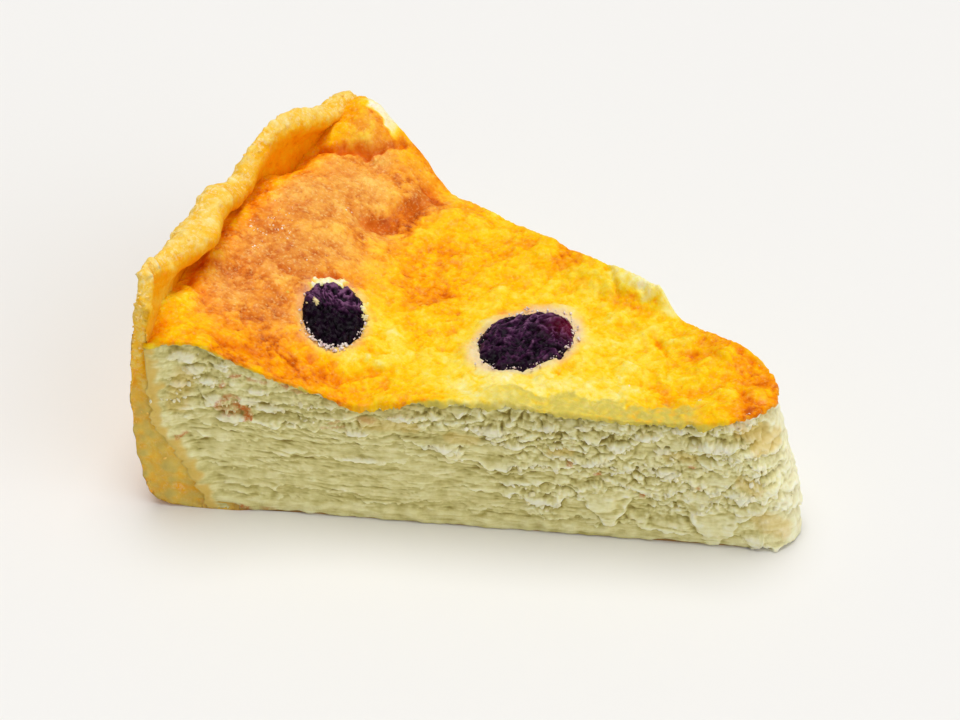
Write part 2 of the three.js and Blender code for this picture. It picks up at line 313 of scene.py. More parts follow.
def filled_outline(ring, inside, first_ring, first_inside):
    """Triangles over a closed outline (n, 2) and loose points (m, 2) inside it, numbered as in the
    mesh, where the outline and the loose points start at the given numbers."""
    flat = [Vector(p) for p in np.vstack([ring, inside])]
    count = len(ring)
    edges = [(k, (k + 1) % count) for k in range(count)]
    made = delaunay_2d_cdt(flat, edges, [], 1, 1e-5)
    source = np.array([origin[0] if origin else -1 for origin in made[3]])
    triangles = source[np.array(made[2])]
    triangles = triangles[(triangles >= 0).all(1)]
    return np.where(triangles < count, triangles + first_ring, triangles - count + first_inside)


def mesh_object(name, points, triangles, material, attributes=None):
    mesh = bpy.data.meshes.new(name)
    mesh.vertices.add(len(points))
    mesh.vertices.foreach_set("co", (points * MM).astype(np.float32).ravel())
    mesh.loops.add(triangles.size)
    mesh.loops.foreach_set("vertex_index", triangles.astype(np.int32).ravel())
    mesh.polygons.add(len(triangles))
    mesh.polygons.foreach_set("loop_start", np.arange(0, triangles.size, 3, dtype=np.int32))
    mesh.polygons.foreach_set("use_smooth", np.ones(len(triangles), bool))
    for key, values in (attributes or {}).items():
        layer = mesh.attributes.new(key, "FLOAT", "POINT")
        layer.data.foreach_set("value", values.astype(np.float32))
    mesh.update(calc_edges=True)
    mesh.validate()
    mesh.materials.append(material)
    thing = bpy.data.objects.new(name, mesh)
    bpy.context.scene.collection.objects.link(thing)
    return thing


def vertex_normals(points, triangles):
    a, b, c = corners_of(points, triangles)
    face = np.cross(b - a, c - a)
    normal = np.zeros_like(points)
    for k in range(3):
        np.add.at(normal, triangles[:, k], face)
    return normal / np.maximum(1e-12, np.linalg.norm(normal, axis=1))[:, None]


def inside_outline(places, ring, margin):
    """Which places lie inside a closed outline and at least about `margin` from it."""
    after = np.roll(ring, -1, axis=0)
    inside = np.zeros(len(places), bool)
    close = np.zeros(len(places), bool)
    x, y = places[:, 0], places[:, 1]
    for (x0, y0), (x1, y1) in zip(ring, after):
        if y0 != y1:
            crosses = (y0 > y) != (y1 > y)
            inside ^= crosses & (x < (x1 - x0) * (y - y0) / (y1 - y0) + x0)
        close |= np.abs(x - x0) + np.abs(y - y0) < margin * 1.3
    return inside & ~close


def facing(points, triangles, direction):
    """The triangles of a sheet, turned to face about this direction."""
    a, b, c = corners_of(points, triangles)
    leans = np.cross(b - a, c - a).sum(0) @ direction
    return triangles if leans > 0 else triangles[:, ::-1]


def outward_band(points, band, out_x, out_y):
    """The triangles of an upright band, turned to face out; out_x and out_y are its columns'."""
    cols = len(out_x)
    a, b, c = corners_of(points, band)
    face = np.cross(b - a, c - a)
    column = band[:, 0] % cols
    lean = (face[:, 0] * out_x[column] + face[:, 1] * out_y[column]).sum()
    return band if lean > 0 else band[:, ::-1]


def loose_places(low, high, spacing, staggered=False):
    """Places (n, 2) in rows between two corners. Staggered rows are closer together, and every
    other one is shifted by half a step."""
    row_gap = spacing * math.sqrt(3) / 2 if staggered else spacing
    rows, columns = np.mgrid[low[1]:high[1]:row_gap, low[0]:high[0]:spacing]
    if staggered:
        columns = columns + spacing / 2 * (np.arange(len(columns)) % 2)[:, None]
    return np.column_stack([columns.ravel(), rows.ravel()])


def lone_ball(detail):
    """Points and triangles of a unit ball."""
    mesh = bpy.data.meshes.new("ball")
    made = bmesh.new()
    bmesh.ops.create_icosphere(made, subdivisions=detail, radius=1)
    made.to_mesh(mesh)
    made.free()
    points = np.array([v.co for v in mesh.vertices], float)
    triangles = np.array([p.vertices for p in mesh.polygons])
    bpy.data.meshes.remove(mesh)
    return points, triangles


# ---- Colours and materials ----

def linear(red, green, blue):
    """A screen colour, 0 to 255, as linear light."""
    share = np.array([red, green, blue]) / 255
    return tuple(np.where(share <= 0.04045, share / 12.92, ((share + 0.055) / 1.055) ** 2.4))


class Look:
    """A material under construction: its node tree, with short calls for the nodes used here."""

    def __init__(self, name):
        self.material = bpy.data.materials.new(name)
        self.material.use_nodes = True
        self.tree = self.material.node_tree
        self.shader = self.tree.nodes["Principled BSDF"]
        self.place = self.node("ShaderNodeTexCoord").outputs["Object"]

    def node(self, kind, **settings):
        made = self.tree.nodes.new(kind)
        for key, value in settings.items():
            setattr(made, key, value)
        return made

    def put(self, value, socket):
        """Sets a socket to a constant, or links another socket to it."""
        if isinstance(value, bpy.types.NodeSocket):
            self.tree.links.new(value, socket)
        else:
            socket.default_value = value

    def attribute(self, name):
        return self.node("ShaderNodeAttribute", attribute_name=name).outputs["Fac"]

    def grain(self, size_mm, detail=3.0, roughness=0.55, stretch=None):
        """Noise from 0 to 1 with features of about this size."""
        place = self.place
        if stretch:
            mapping = self.node("ShaderNodeMapping")
            self.put(place, mapping.inputs["Vector"])
            mapping.inputs["Scale"].default_value = stretch
            place = mapping.outputs["Vector"]
        made = self.node("ShaderNodeTexNoise")
        self.put(place, made.inputs["Vector"])
        made.inputs["Scale"].default_value = 1 / (size_mm * MM)
        made.inputs["Detail"].default_value = detail
        made.inputs["Roughness"].default_value = roughness
        return made.outputs["Fac"]

    def maths(self, operation, a, b):
        made = self.node("ShaderNodeMath", operation=operation)
        self.put(a, made.inputs[0])
        self.put(b, made.inputs[1])
        return made.outputs["Value"]

    def spread(self, value, low, high, to_low=0.0, to_high=1.0):
        made = self.node("ShaderNodeMapRange")
        self.put(value, made.inputs["Value"])
        ends = {"From Min": low, "From Max": high, "To Min": to_low, "To Max": to_high}
        for key, number in ends.items():
            made.inputs[key].default_value = number
        return made.outputs["Result"]

    def ramp(self, value, stops):
        made = self.node("ShaderNodeValToRGB")
        self.put(value, made.inputs["Fac"])
        band = made.color_ramp.elements
        while len(band) < len(stops):
            band.new(0.5)
        for element, (position, colour) in zip(band, stops):
            element.position = position
            element.color = (*linear(*colour), 1)
        return made.outputs["Color"]

    def blend(self, share, first, second):
        made = self.node("ShaderNodeMix", data_type="RGBA")
        self.put(share, made.inputs["Factor"])
        for key, colour in (("A", first), ("B", second)):
            socket = [s for s in made.inputs if s.name == key and s.type == "RGBA"][0]
            self.put((*linear(*colour), 1) if isinstance(colour, tuple) else colour, socket)
        return [s for s in made.outputs if s.type == "RGBA"][0]

    def tint(self, body, name, colour, pattern=None):
        """Lays a colour over the body as far as the attribute says, and as a pattern lets it."""
        share = self.attribute(name)
        if pattern is not None:
            share = self.maths("MULTIPLY", pattern, share)
        return self.blend(share, body, colour)

    def bump(self, height, depth_mm, under=None):
        made = self.node("ShaderNodeBump")
        self.put(height, made.inputs["Height"])
        made.inputs["Distance"].default_value = depth_mm * MM
        if under is not None:
            self.put(under, made.inputs["Normal"])
        return made.outputs["Normal"]

    def finish(self, colour, roughness, normal=None, soak=0.0, soak_mm=(1.6, 1.1, 0.5), shine=0.5):
        """`soak` is how much light goes into the piece and comes out beside where it went in."""
        shader = self.shader.inputs
        self.put(colour, shader["Base Color"])
        self.put(roughness, shader["Roughness"])
        self.put(shine, shader["Specular IOR Level"])
        if normal is not None:
            self.put(normal, shader["Normal"])
        if soak:
            shader["Subsurface Weight"].default_value = soak
            shader["Subsurface Radius"].default_value = soak_mm
            shader["Subsurface Scale"].default_value = MM
        return self.material


# Colours from pale to dark or low to high: place on the ramp, screen colour
# The cheese ramp is olive and dark, as the near cut looks in shade, and darkest for its hollows: painted
# shade.
CHEESE_STOPS = (
    (0.00, (150, 132, 58)), (0.25, (196, 184, 108)), (0.50, (226, 217, 150)), (0.75, (246, 240, 186)),
    (1.00, (255, 252, 218)),
)
BAKE_STOPS = (
    (0.00, (250, 246, 220)), (0.16, (248, 234, 140)), (0.30, (250, 220, 70)), (0.42, (252, 206, 22)),
    (0.55, (253, 188, 0)), (0.68, (250, 162, 0)), (0.80, (236, 132, 0)), (0.90, (206, 98, 0)),
    (1.00, (160, 60, 4)),
)
# Paler and duller where the dome glints: partly painted sheen over a real tan.
TAN_STOPS = (
    (0.00, (254, 226, 160)), (0.40, (252, 208, 108)), (0.58, (248, 192, 92)), (0.72, (240, 167, 72)),
    (0.86, (222, 135, 54)), (1.00, (196, 98, 28)),
)
# The orange end also serves as painted shade inside the rim's hollow and under its roll.
PASTRY_STOPS = (
    (0.00, (254, 236, 176)), (0.20, (252, 218, 118)), (0.40, (250, 200, 66)), (0.60, (250, 178, 12)),
    (0.80, (252, 158, 0)), (1.00, (206, 106, 0)),
)
# From painted shade to painted highlight on the berries' folds.
BERRY_STOPS = (
    (0.00, (3, 0, 3)), (0.40, (30, 8, 30)), (0.70, (66, 30, 62)), (1.00, (128, 84, 120)),
)


def cheese_look():
    look = Look("cheese")
    # The relief attribute is painted light and shade: darker in the hollows of the cut, lighter where it
    # stands out.
    relief = look.attribute("relief")
    mottle = look.grain(2.2, 4)
    tone = look.maths("ADD", relief, look.spread(mottle, 0.3, 0.7, -0.12, 0.12))
    # These strokes raise the bump and also lighten the colour where they stand up: painted highlights.
    strokes = look.grain(0.42, 3, 0.6, stretch=(0.16, 0.16, 1.0))
    tone = look.maths("ADD", tone, look.spread(strokes, 0.32, 0.68, -0.09, 0.09))
    body = look.ramp(tone, CHEESE_STOPS)
    # The pale tint lifts the far cut and the tip out of the painted shade of the near cut, and colours the
    # pale lumps.
    body = look.tint(body, "pale", (250, 246, 222))
    body = look.tint(body, "warm", (228, 190, 84))
    patchy = look.spread(look.grain(0.6, 3, 0.7), 0.38, 0.56, 0.25, 1.0)
    body = look.tint(body, "spot", (198, 108, 28), patchy)
    fine = look.grain(0.6, 4, 0.65)
    finer = look.grain(0.2, 2)
    normal = look.bump(strokes, 0.11, look.bump(finer, 0.06, look.bump(fine, 0.16)))
    return look.finish(body, 0.62, normal, soak=0.3, soak_mm=(1.5, 1.15, 0.55), shine=0.35)


def skin_look():
    look = Look("baked_top")
    # The bake attribute is how brown the top is, with painted shade in its cracks and creases and painted
    # highlights on its lumps.
    bake_and_painted_light = look.attribute("bake_and_painted_light")
    mottle = look.spread(look.grain(1.5, 5, 0.65), 0.32, 0.68, -0.10, 0.10)
    tone = look.maths("ADD", bake_and_painted_light, mottle)
    vivid = look.ramp(tone, BAKE_STOPS)
    tan = look.ramp(tone, TAN_STOPS)
    # The tan share swaps in the duller ramp, which is partly painted sheen.
    body = look.blend(look.attribute("tan"), vivid, tan)
    # The edge tint is dull olive over the pale filling on the lip's side and on the pale strip by the near
    # cut: painted shade.
    body = look.tint(body, "edge", (206, 190, 88))
    flecks = look.spread(look.grain(0.55, 2, 0.6), 0.53, 0.70, 0.0, 0.62)
    body = look.tint(body, "grainy", (254, 220, 142), flecks)
    pits = look.spread(look.grain(0.7, 2, 0.6), 0.43, 0.30, 0.0, 0.6)
    body = look.tint(body, "grainy", (214, 112, 30), pits)
    # Darker orange along the creases: painted shade.
    body = look.tint(body, "crease_shade", (226, 104, 0))
    body = look.tint(body, "stain", (236, 212, 184))
    fine = look.grain(0.75, 4, 0.7)
    finer = look.grain(0.25, 2)
    normal = look.bump(finer, 0.05, look.bump(fine, 0.15))
    rough = look.spread(look.grain(3.0, 2), 0.3, 0.7, 0.36, 0.52)
    gloss = look.spread(look.grain(1.6, 3, 0.6), 0.50, 0.66, 0.03, 0.24)
    return look.finish(body, rough, normal, soak=0.2, soak_mm=(0.9, 0.5, 0.2), shine=gloss)


def pastry_look():
    look = Look("pastry")
    # The toast attribute is partly real baking and partly painted light and shade: paler on the crest, and
    # darker between crumbs, inside the rim's hollow and under its roll.
    toast_and_painted_light = look.attribute("toast_and_painted_light")
    mottle = look.spread(look.grain(1.8, 5, 0.7), 0.33, 0.67, -0.16, 0.14)
    body = look.ramp(look.maths("ADD", toast_and_painted_light, mottle), PASTRY_STOPS)
    crumb = look.spread(look.grain(0.8, 5, 0.75), 0.50, 0.60)
    body = look.tint(body, "crumb", (254, 236, 180), crumb)
    body = look.tint(body, "dull", (150, 112, 78))
    body = look.tint(body, "cut", (212, 188, 98))
    fine = look.grain(0.9, 4, 0.7)
    finer = look.grain(0.3, 2)
    normal = look.bump(finer, 0.08, look.bump(fine, 0.3))
    return look.finish(body, 0.62, normal, soak=0.12, soak_mm=(0.9, 0.5, 0.2), shine=0.07)


def berry_look():
    look = Look("berry")
    # The fold attribute is painted light: lighter on the ridges of the folds and on each berry's lit side.
    painted_fold_light = look.attribute("painted_fold_light")
    mottle = look.spread(look.grain(1.0, 4), 0.3, 0.7, -0.15, 0.15)
    body = look.ramp(look.maths("ADD", painted_fold_light, mottle), BERRY_STOPS)
    body = look.tint(body, "crimson", (110, 16, 46))
    normal = look.bump(look.grain(0.5, 4, 0.7), 0.22)
    gloss = look.spread(look.grain(0.7, 3), 0.45, 0.6, 0.02, 0.2)
    return look.finish(body, 0.4, normal, soak=0.0, shine=gloss)


def crumb_look(name, colours, size_mm):
    look = Look(name)
    body = look.ramp(look.grain(size_mm, 2), list(zip((0.3, 0.5, 0.7), colours)))
    normal = look.bump(look.grain(0.25, 2), 0.06)
    return look.finish(body, 0.65, normal, shine=0.25)


# ---- Cut faces of the filling ----

FACE_START = 122.0  # lengths along the cut are counted inwards from this radius
NEAR, TIP, FAR, REAR = range(4)
FACE_COLS = (400, 100, 190, 36)
FACE_ROWS = 112
ARC_HALF = math.pi / 2 - HALF_CUT
RAGGED_JOIN = 0.35  # how deep the uneven join at the cuts goes into the wall, on average


def plan_path(part, share, z):
    """Plan position, outward direction and length along the cut of outline places at height z.
    `part` is the stretch of the outline and `share` goes 0 to 1 along it."""

    def by_part(near, far, tip, rear):
        return np.select([part == NEAR, part == FAR, part == TIP], [near, far, tip], rear)

    centre, ring = tip_circle(z)
    touch = centre * COS_HALF
    turn = (2 * share - 1) * ARC_HALF
    bearing = by_part(-HALF_CUT, HALF_CUT, 0.0, HALF_CUT * (1 - 2 * share))
    level = flat_points(np.ravel(z), 0 * np.ravel(z))
    ragged = waves(level, (0.7, 0.5, 61), (0.5, 1.3, 62)).reshape(np.shape(z))
    ragged = ragged * (1 - smoothstep(z, 24, 29))
    lap = np.where(part == REAR, FILLING_LAP, FILLING_LAP + RAGGED_JOIN + ragged)
    wall = inner_radius(z, bearing) + lap
    radius = by_part(mix(wall, touch, share), mix(touch, wall, share), wall, wall)
    tip_x = CENTRE_X - centre + ring * np.cos(turn)
    x = np.where(part == TIP, tip_x, CENTRE_X - radius * np.cos(bearing))
    y = np.where(part == TIP, ring * np.sin(turn), radius * np.sin(bearing))
    out_x = by_part(SIN_HALF, SIN_HALF, np.cos(turn), -np.cos(bearing))
    out_y = by_part(-COS_HALF, COS_HALF, np.sin(turn), np.sin(bearing))
    round_tip = FACE_START - touch + 2 * ARC_HALF * ring
    along = by_part(
        FACE_START - radius,
        round_tip + radius - touch,
        FACE_START - touch + ring * (turn + ARC_HALF),
        round_tip + wall - touch,
    )
    return x, y, out_x, out_y, along


def outline_columns(counts):
    """`part` and `share` of each column, once round."""
    part = np.concatenate([np.full(n, k) for k, n in enumerate(counts)])
    share = np.concatenate([np.arange(n) / n for n in counts])
    return part, share


def settled_edge(part, share):
    """What plan_path says of the outline at the height of the baked top, and that height."""
    level = np.full(len(part), SKIN_LEVEL)
    for _ in range(4):
        x, y, out_x, out_y, along = plan_path(part, share, level)
        level = skin_height(x, y)
    return x, y, out_x, out_y, along, level


def face_roughness(along, z):
    """How torn the cut is: smooth low down towards the rim, broken towards the tip and the top."""
    rough = 0.2 + 0.8 * smoothstep(along, 38, 74) * mix(0.3, 1, smoothstep(z, 2, 11))
    by_rim = 0.4 * smoothstep(z, 17, 22) * (1 - smoothstep(along, 26, 36))
    return np.clip(rough + 0.45 * smoothstep(z, 15, 23) + by_rim, 0, 1)


# Large torn flaps: length along the cut, height of the top edge, half length, drop, thickness
LARGE_FLAPS = (
    (61, 16.5, 11, 2.4, 0.9), (65, 9.6, 6, 2.4, 0.8), (72, 11.6, 4.5, 2.4, 0.7), (84, 13.2, 6.5, 3.3, 1),
    (87, 5.4, 6, 2.6, 0.8), (104, 6.2, 5.5, 5.6, 1), (100, 14.5, 6, 4.4, 0.9), (92, 15.6, 5.5, 3.6, 0.8),
    (104, 20, 5, 3.4, 0.8), (70, 19.4, 6, 2.8, 0.8), (80, 18.6, 5, 2.8, 0.8), (47, 19, 6, 1.9, 0.7),
    (31, 14, 12, 1.3, 0.35), (20, 12.6, 9, 1, 0.25), (40, 5.4, 14, 1.2, 0.25), (24, 24.6, 6, 1.6, 0.5),
)

# Tongues of filling smeared down: length along the cut, top, half width there, lower end, thickness
TONGUES = (
    (76.3, 12, 5.4, 2.9, 0.8), (94.3, 8, 4.8, -0.3, 0.8), (90.8, 12.4, 3.8, 6.9, 0.6),
    (101.2, 4.4, 2.6, -0.6, 0.8), (69.8, 2.6, 3.4, -0.3, 0.4), (64.5, 8.4, 2.4, 6.2, 0.5),
    (108, 5.5, 3, 0, 0.6), (50.5, 17.6, 2.4, 15, 0.5),
)

# Pale lumps on the face: length along the cut, height, half length, half height, thickness
PALE_LUMPS = (
    (13.7, 19.8, 2.3, 0.75, 0.7), (11.2, 23.9, 1.4, 0.8, 0.4), (16.9, 23.6, 1.9, 0.8, 0.45),
    (20.3, 22.4, 2.1, 0.6, 0.4), (8.2, 29.6, 1.8, 0.8, 0.35), (5.4, 26.4, 1.4, 0.7, 0.3),
    (18.4, 26, 1.6, 0.5, 0.3), (10.4, 27.4, 1.5, 0.6, 0.35), (6.4, 32.2, 2.2, 1, 0.35),
    (12.8, 30.6, 1.2, 0.8, 0.3), (56.6, 21.4, 2.8, 0.9, 0.6), (48.6, 17, 3.2, 0.8, 0.6),
    (42, 22.4, 1.7, 0.7, 0.5), (34.6, 18.8, 1.7, 0.5, 0.4), (82.6, 22.5, 1.6, 0.6, 0.6),
    (77.3, 20, 1.5, 0.8, 0.6), (93.4, 21.8, 3, 0.9, 0.6), (85, 19.6, 1.4, 0.6, 0.5),
    (35.4, 12.9, 3.2, 0.35, 0.25), (64.2, 7.4, 2.2, 0.6, 0.4), (60.6, 18.6, 1.6, 0.6, 0.5),
    (66, 22.8, 1.3, 0.7, 0.5), (72, 23.2, 1.2, 0.5, 0.4), (87.6, 24.2, 1.2, 0.6, 0.5),
    (99.6, 25.8, 2.6, 1.1, 0.5), (74.6, 16.8, 2, 0.8, 0.5), (98.6, 11.6, 2.4, 1, 0.5),
    (106.4, 9.4, 2, 1.2, 0.5), (86, 15.2, 1.8, 0.7, 0.4),
)

# Recesses: length along the cut, height, half length, half height, depth
RECESSES = (
    (84.5, 7.4, 6.5, 3.2, 0.9), (100.5, 23.2, 3.6, 1.8, 0.9), (76.8, 22, 3.2, 1.2, 0.6),
    (10.3, 31.8, 2.2, 1.4, 0.6), (22, 21, 5.5, 1.1, 0.4), (50, 24.4, 5, 1.2, 0.5), (64, 24.8, 7, 1, 0.6),
    (88, 23, 2.6, 1, 0.5), (104.6, 16.6, 2.4, 1.6, 0.5), (54, 12.6, 8, 0.9, 0.35), (36, 11.2, 8, 0.6, 0.25),
)

# Brown marks: from (length along the cut, height) to (length, height), width, strength
FACE_MARKS = (
    (11.2, 22.2, 12.4, 23.6, 0.42, 0.8), (12.4, 23.6, 14, 24.6, 0.36, 0.7),
    (14, 24.6, 15.4, 24.2, 0.32, 0.6), (14.3, 23.1, 15.6, 22.2, 0.45, 0.9),
    (15.6, 22.2, 16.6, 21.4, 0.55, 1), (16.6, 21.4, 16.5, 20, 0.5, 1), (12.3, 20.8, 14.2, 21, 0.3, 0.5),
    (12.2, 21.9, 14.8, 21.9, 0.9, 0.42), (14.4, 28.8, 15.6, 29.1, 0.45, 0.9),
    (12.3, 26.2, 13, 27.1, 0.35, 0.8), (22.5, 27.7, 23.3, 27.4, 0.45, 0.8),
    (4.5, 15.2, 5.6, 15.9, 0.4, 0.9), (14.5, 0.8, 15.4, 0.4, 0.5, 0.9), (18, 0.5, 19.7, 0.5, 0.45, 0.5),
    (70, 15.7, 70.4, 15.9, 0.36, 0.8), (74.4, 13.8, 74.9, 13.8, 0.36, 0.9),
    (89.8, 16.7, 90, 16.9, 0.36, 0.9), (91.2, 12.8, 91.4, 13.3, 0.34, 0.7), (82, 9.4, 82.4, 9.4, 0.34, 0.8),
    (29, 19.3, 32.4, 19.6, 0.26, 0.45), (30.2, 20.4, 31.6, 20.8, 0.3, 0.35),
    (35, 21.8, 37.5, 21.6, 0.4, 0.35), (17, 28.6, 20, 28, 0.3, 0.5), (24.6, 26.6, 26.8, 26.2, 0.35, 0.45),
)

# Yellow stains, in the same way
FACE_STAINS = (
    (36, 20.6, 44, 20.6, 1, 0.35), (50, 19.4, 54, 18.8, 0.8, 0.35), (98, 24.2, 103, 22.6, 1.3, 0.5),
    (101, 20.8, 105.8, 21.2, 1.2, 0.5), (102, 6.4, 106, 4.2, 1.6, 0.4), (66.8, 18.2, 70, 18.6, 0.6, 0.4),
    (4.8, 22, 6.4, 28, 1.6, 0.35), (86, 18.8, 90, 18.4, 0.7, 0.3), (98.2, 14.6, 101, 13.2, 1, 0.35),
)


# Where the cheese starts higher over the base: length along the cut, half width, rise
FLOOR_RISES = (
    (92.4, 0.7, 1.6), (98.6, 0.9, 0.7), (78, 4.5, 0.4), (87, 2, 0.3), (15, 1.2, 0.4), (19, 1.6, 0.3),
)

# Grooves left by the knife: frequency along the cut, frequency in height, depth
GROOVES = ((0.06, 0.55, 1.0), (0.10, 1.0, 0.7), (0.16, 1.7, 0.4))

SMALL_FLAPS = 230


def stroke_strength(strokes, along, z, seed):
    """How strongly a set of strokes marks each place, 0 to 1, with ragged edges."""
    place = flat_points(along, z)
    shaken_along = along + waves(place, (0.30, 0.9, seed), (0.16, 2.4, seed + 1))
    shaken_z = z + waves(place, (0.30, 0.9, seed + 2), (0.16, 2.4, seed + 3))
    total = np.zeros_like(along)
    for *ends, width, strength in strokes:
        away = distance_to_stroke(shaken_along, shaken_z, *ends)
        total = np.maximum(total, strength * smoothstep(1.6 * width - away, 0, 0.9 * width))
    return total


def placed_lumps(lumps, along, z, seed):
    """Level-topped lumps with broken edges: height in mm, and how much of a lump there is."""
    shake = waves(flat_points(along, z), (0.30, (0.8, 1.0, 0), seed), (0.30, (1.9, 2.1, 0), seed + 1))
    height = np.zeros_like(along)
    share = np.zeros_like(along)
    for at, level, half, tall, thick in lumps:
        reach = np.hypot((along - at) / half, (z - level) / tall) + shake
        top = smoothstep(1.2 - reach, 0, 0.4)
        height = np.maximum(height, thick * top)
        share = np.maximum(share, top)
    return height, share


def placed_tongues(along, z, seed):
    place = flat_points(along, z)
    shake = waves(place, (1.5, (0.45, 0.5, 0), seed), (1.1, (1.0, 0.9, 0), seed + 1))
    sway = waves(place, (0.9, 0.3, seed + 2), (0.5, 1.2, seed + 3))
    height = np.zeros_like(along)
    for at, top, half, low, thick in TONGUES:
        share = np.clip((z + sway - low) / (top - low), 0, 1.1)
        width = half * share**0.6
        inside = smoothstep(width - np.abs(along - at) + shake * 0.5, 0.0, 0.35)
        fade = 1 - smoothstep(share, 0.55, 1.05)
        height = np.maximum(height, thick * inside * fade * (share > 0.02))
    return height


def make_flaps(length):
    """The large flaps, and small ones scattered over a face of this length."""
    random = np.random.default_rng(11)
    flaps = list(LARGE_FLAPS)
    for _ in range(SMALL_FLAPS):
        along = random.uniform(-2, length + 2)
        top = random.uniform(1, 32)
        rough = face_roughness(along, top)
        half = mix(11.0, 4.2, rough) * random.lognormal(0, 0.5)
        drop = mix(0.9, 2.0, rough) * random.lognormal(0, 0.45)
        thick = mix(0.08, 0.42, rough) * random.lognormal(0, 0.4)
        flaps.append((along, top, half, drop, thick))
    return flaps


def sawtooth(along, z, pitch, seed):
    """Ledges across a cut face: 1 at each uneven lower edge, falling to 0 just under the next."""
    place = flat_points(along, z)
    wander = waves(
        place,
        (0.95, (0.075, 0.10, 0), seed),
        (0.30, (0.22, 0.25, 0), seed + 1),
        (0.10, (0.6, 0.5, 0), seed + 2),
    )
    phase = z / pitch + wander
    share = phase - np.floor(phase)
    strength = smoothstep(noise(place * (0.10, 0.30, 0), seed + 4), -0.35, 0.45)
    return (1 - share) * strength


def fine_grooves(along, z, seed):
    """Thin wavy level grooves left by the knife: 0 to 1."""
    bent = z + 0.9 * noise(flat_points(along * 0.05, z * 0.08), seed)
    total = np.zeros_like(along)
    for k, (long, tall, depth) in enumerate(GROOVES):
        place = flat_points(along * long, bent * tall)
        line = 1 - smoothstep(np.abs(noise(place, seed + 2 * k + 1)), 0.0, 0.16)
        held = smoothstep(noise(place * (1.3, 0.6, 0) + (7, 0, 0), seed + 2 * k + 2), -0.25, 0.35)
        total = np.maximum(total, depth * line * held)
    return total


def softened(values, cols, passes):
    """Values on the rows of the face, smoothed with their neighbours; the columns run right round."""
    grid = values.reshape(-1, cols)
    for _ in range(passes):
        grid = (np.roll(grid, 1, 1) + 2 * grid + np.roll(grid, -1, 1)) / 4
        tall = np.vstack([grid[:1], grid, grid[-1:]])
        grid = (tall[:-2] + 2 * tall[1:-1] + tall[2:]) / 4
    return grid.ravel()


def torn_relief(along, z, seed):
    """Relief of a torn face: overlapping flaps, each thickest at its ragged lower edge, with a
    hollow under that edge. Returns the relief, the hollows and how near each place is to an edge."""
    place = flat_points(along, z)
    ragged = waves(place, (0.8, (0.35, 0.12, 0), seed), (0.35, (0.8, 0.3, 0), seed + 1))
    ragged = ragged + 0.6 * (bumps(place * 0.9, seed + 7) - 0.5)
    bent = z + waves(place, (1.2, (0.06, 0.12, 0), seed + 3), (0.5, 0.2, seed + 4))
    relief = np.zeros_like(along)
    hollow = np.zeros_like(along)
    brink = np.zeros_like(along)
    for centre, top, half, drop, thick in make_flaps(float(along.max())):
        at_height = np.abs(bent - top + drop) < drop * 2 + 2
        near = np.nonzero((np.abs(along - centre) < half) & at_height)[0]
        if not len(near):
            continue
        end = np.sqrt(np.maximum(0, 1 - ((along[near] - centre) / half) ** 2))
        smooth_reach = np.maximum(0.2, drop * end**0.6)
        reach = np.maximum(0.15, smooth_reach + ragged[near] * min(1.1, 0.25 + 0.35 * drop))
        fallen = top - bent[near]
        plate = thick * end**0.5 * np.clip(fallen / smooth_reach, 0, 1.15) ** 0.8
        plate = np.where((fallen > 0) & (fallen <= reach), plate, 0)
        close = plate * np.exp(-(reach - np.clip(fallen, 0, reach)) / 0.45)
        brink[near] = np.where(plate > relief[near], close, brink[near])
        relief[near] = np.maximum(relief[near], plate)
        under = np.where(fallen > reach, np.exp(-(fallen - reach) / 0.6), 0) * end**0.5
        hollow[near] = np.maximum(hollow[near], under * thick * 0.8)
    return relief, hollow, brink


def under_lip_hollow(along, below):
    """The filling has torn away under the lip of the baked top."""
    strength = smoothstep(along, 40, 52) * mix(1, 0.6, smoothstep(along, 96, 108))
    return 0.75 * strength * bell(below - 1.5, 1.2)


def face_floor(along):
    """How high over the ground the cheese starts."""
    floor = 0.28 + 0.25 * layered(flat_points(along * 0.2, 0 * along), 3, 41)
    for at, width, rise in FLOOR_RISES:
        floor = floor + rise * bell(along - at, width)
    return np.maximum(floor, 0.1)


UNDER_SKIN = 0.75  # the grid of the cut ends this far under the top, and lower at the far rim
UNDER_SKIN_BY_FAR_RIM = 1.55


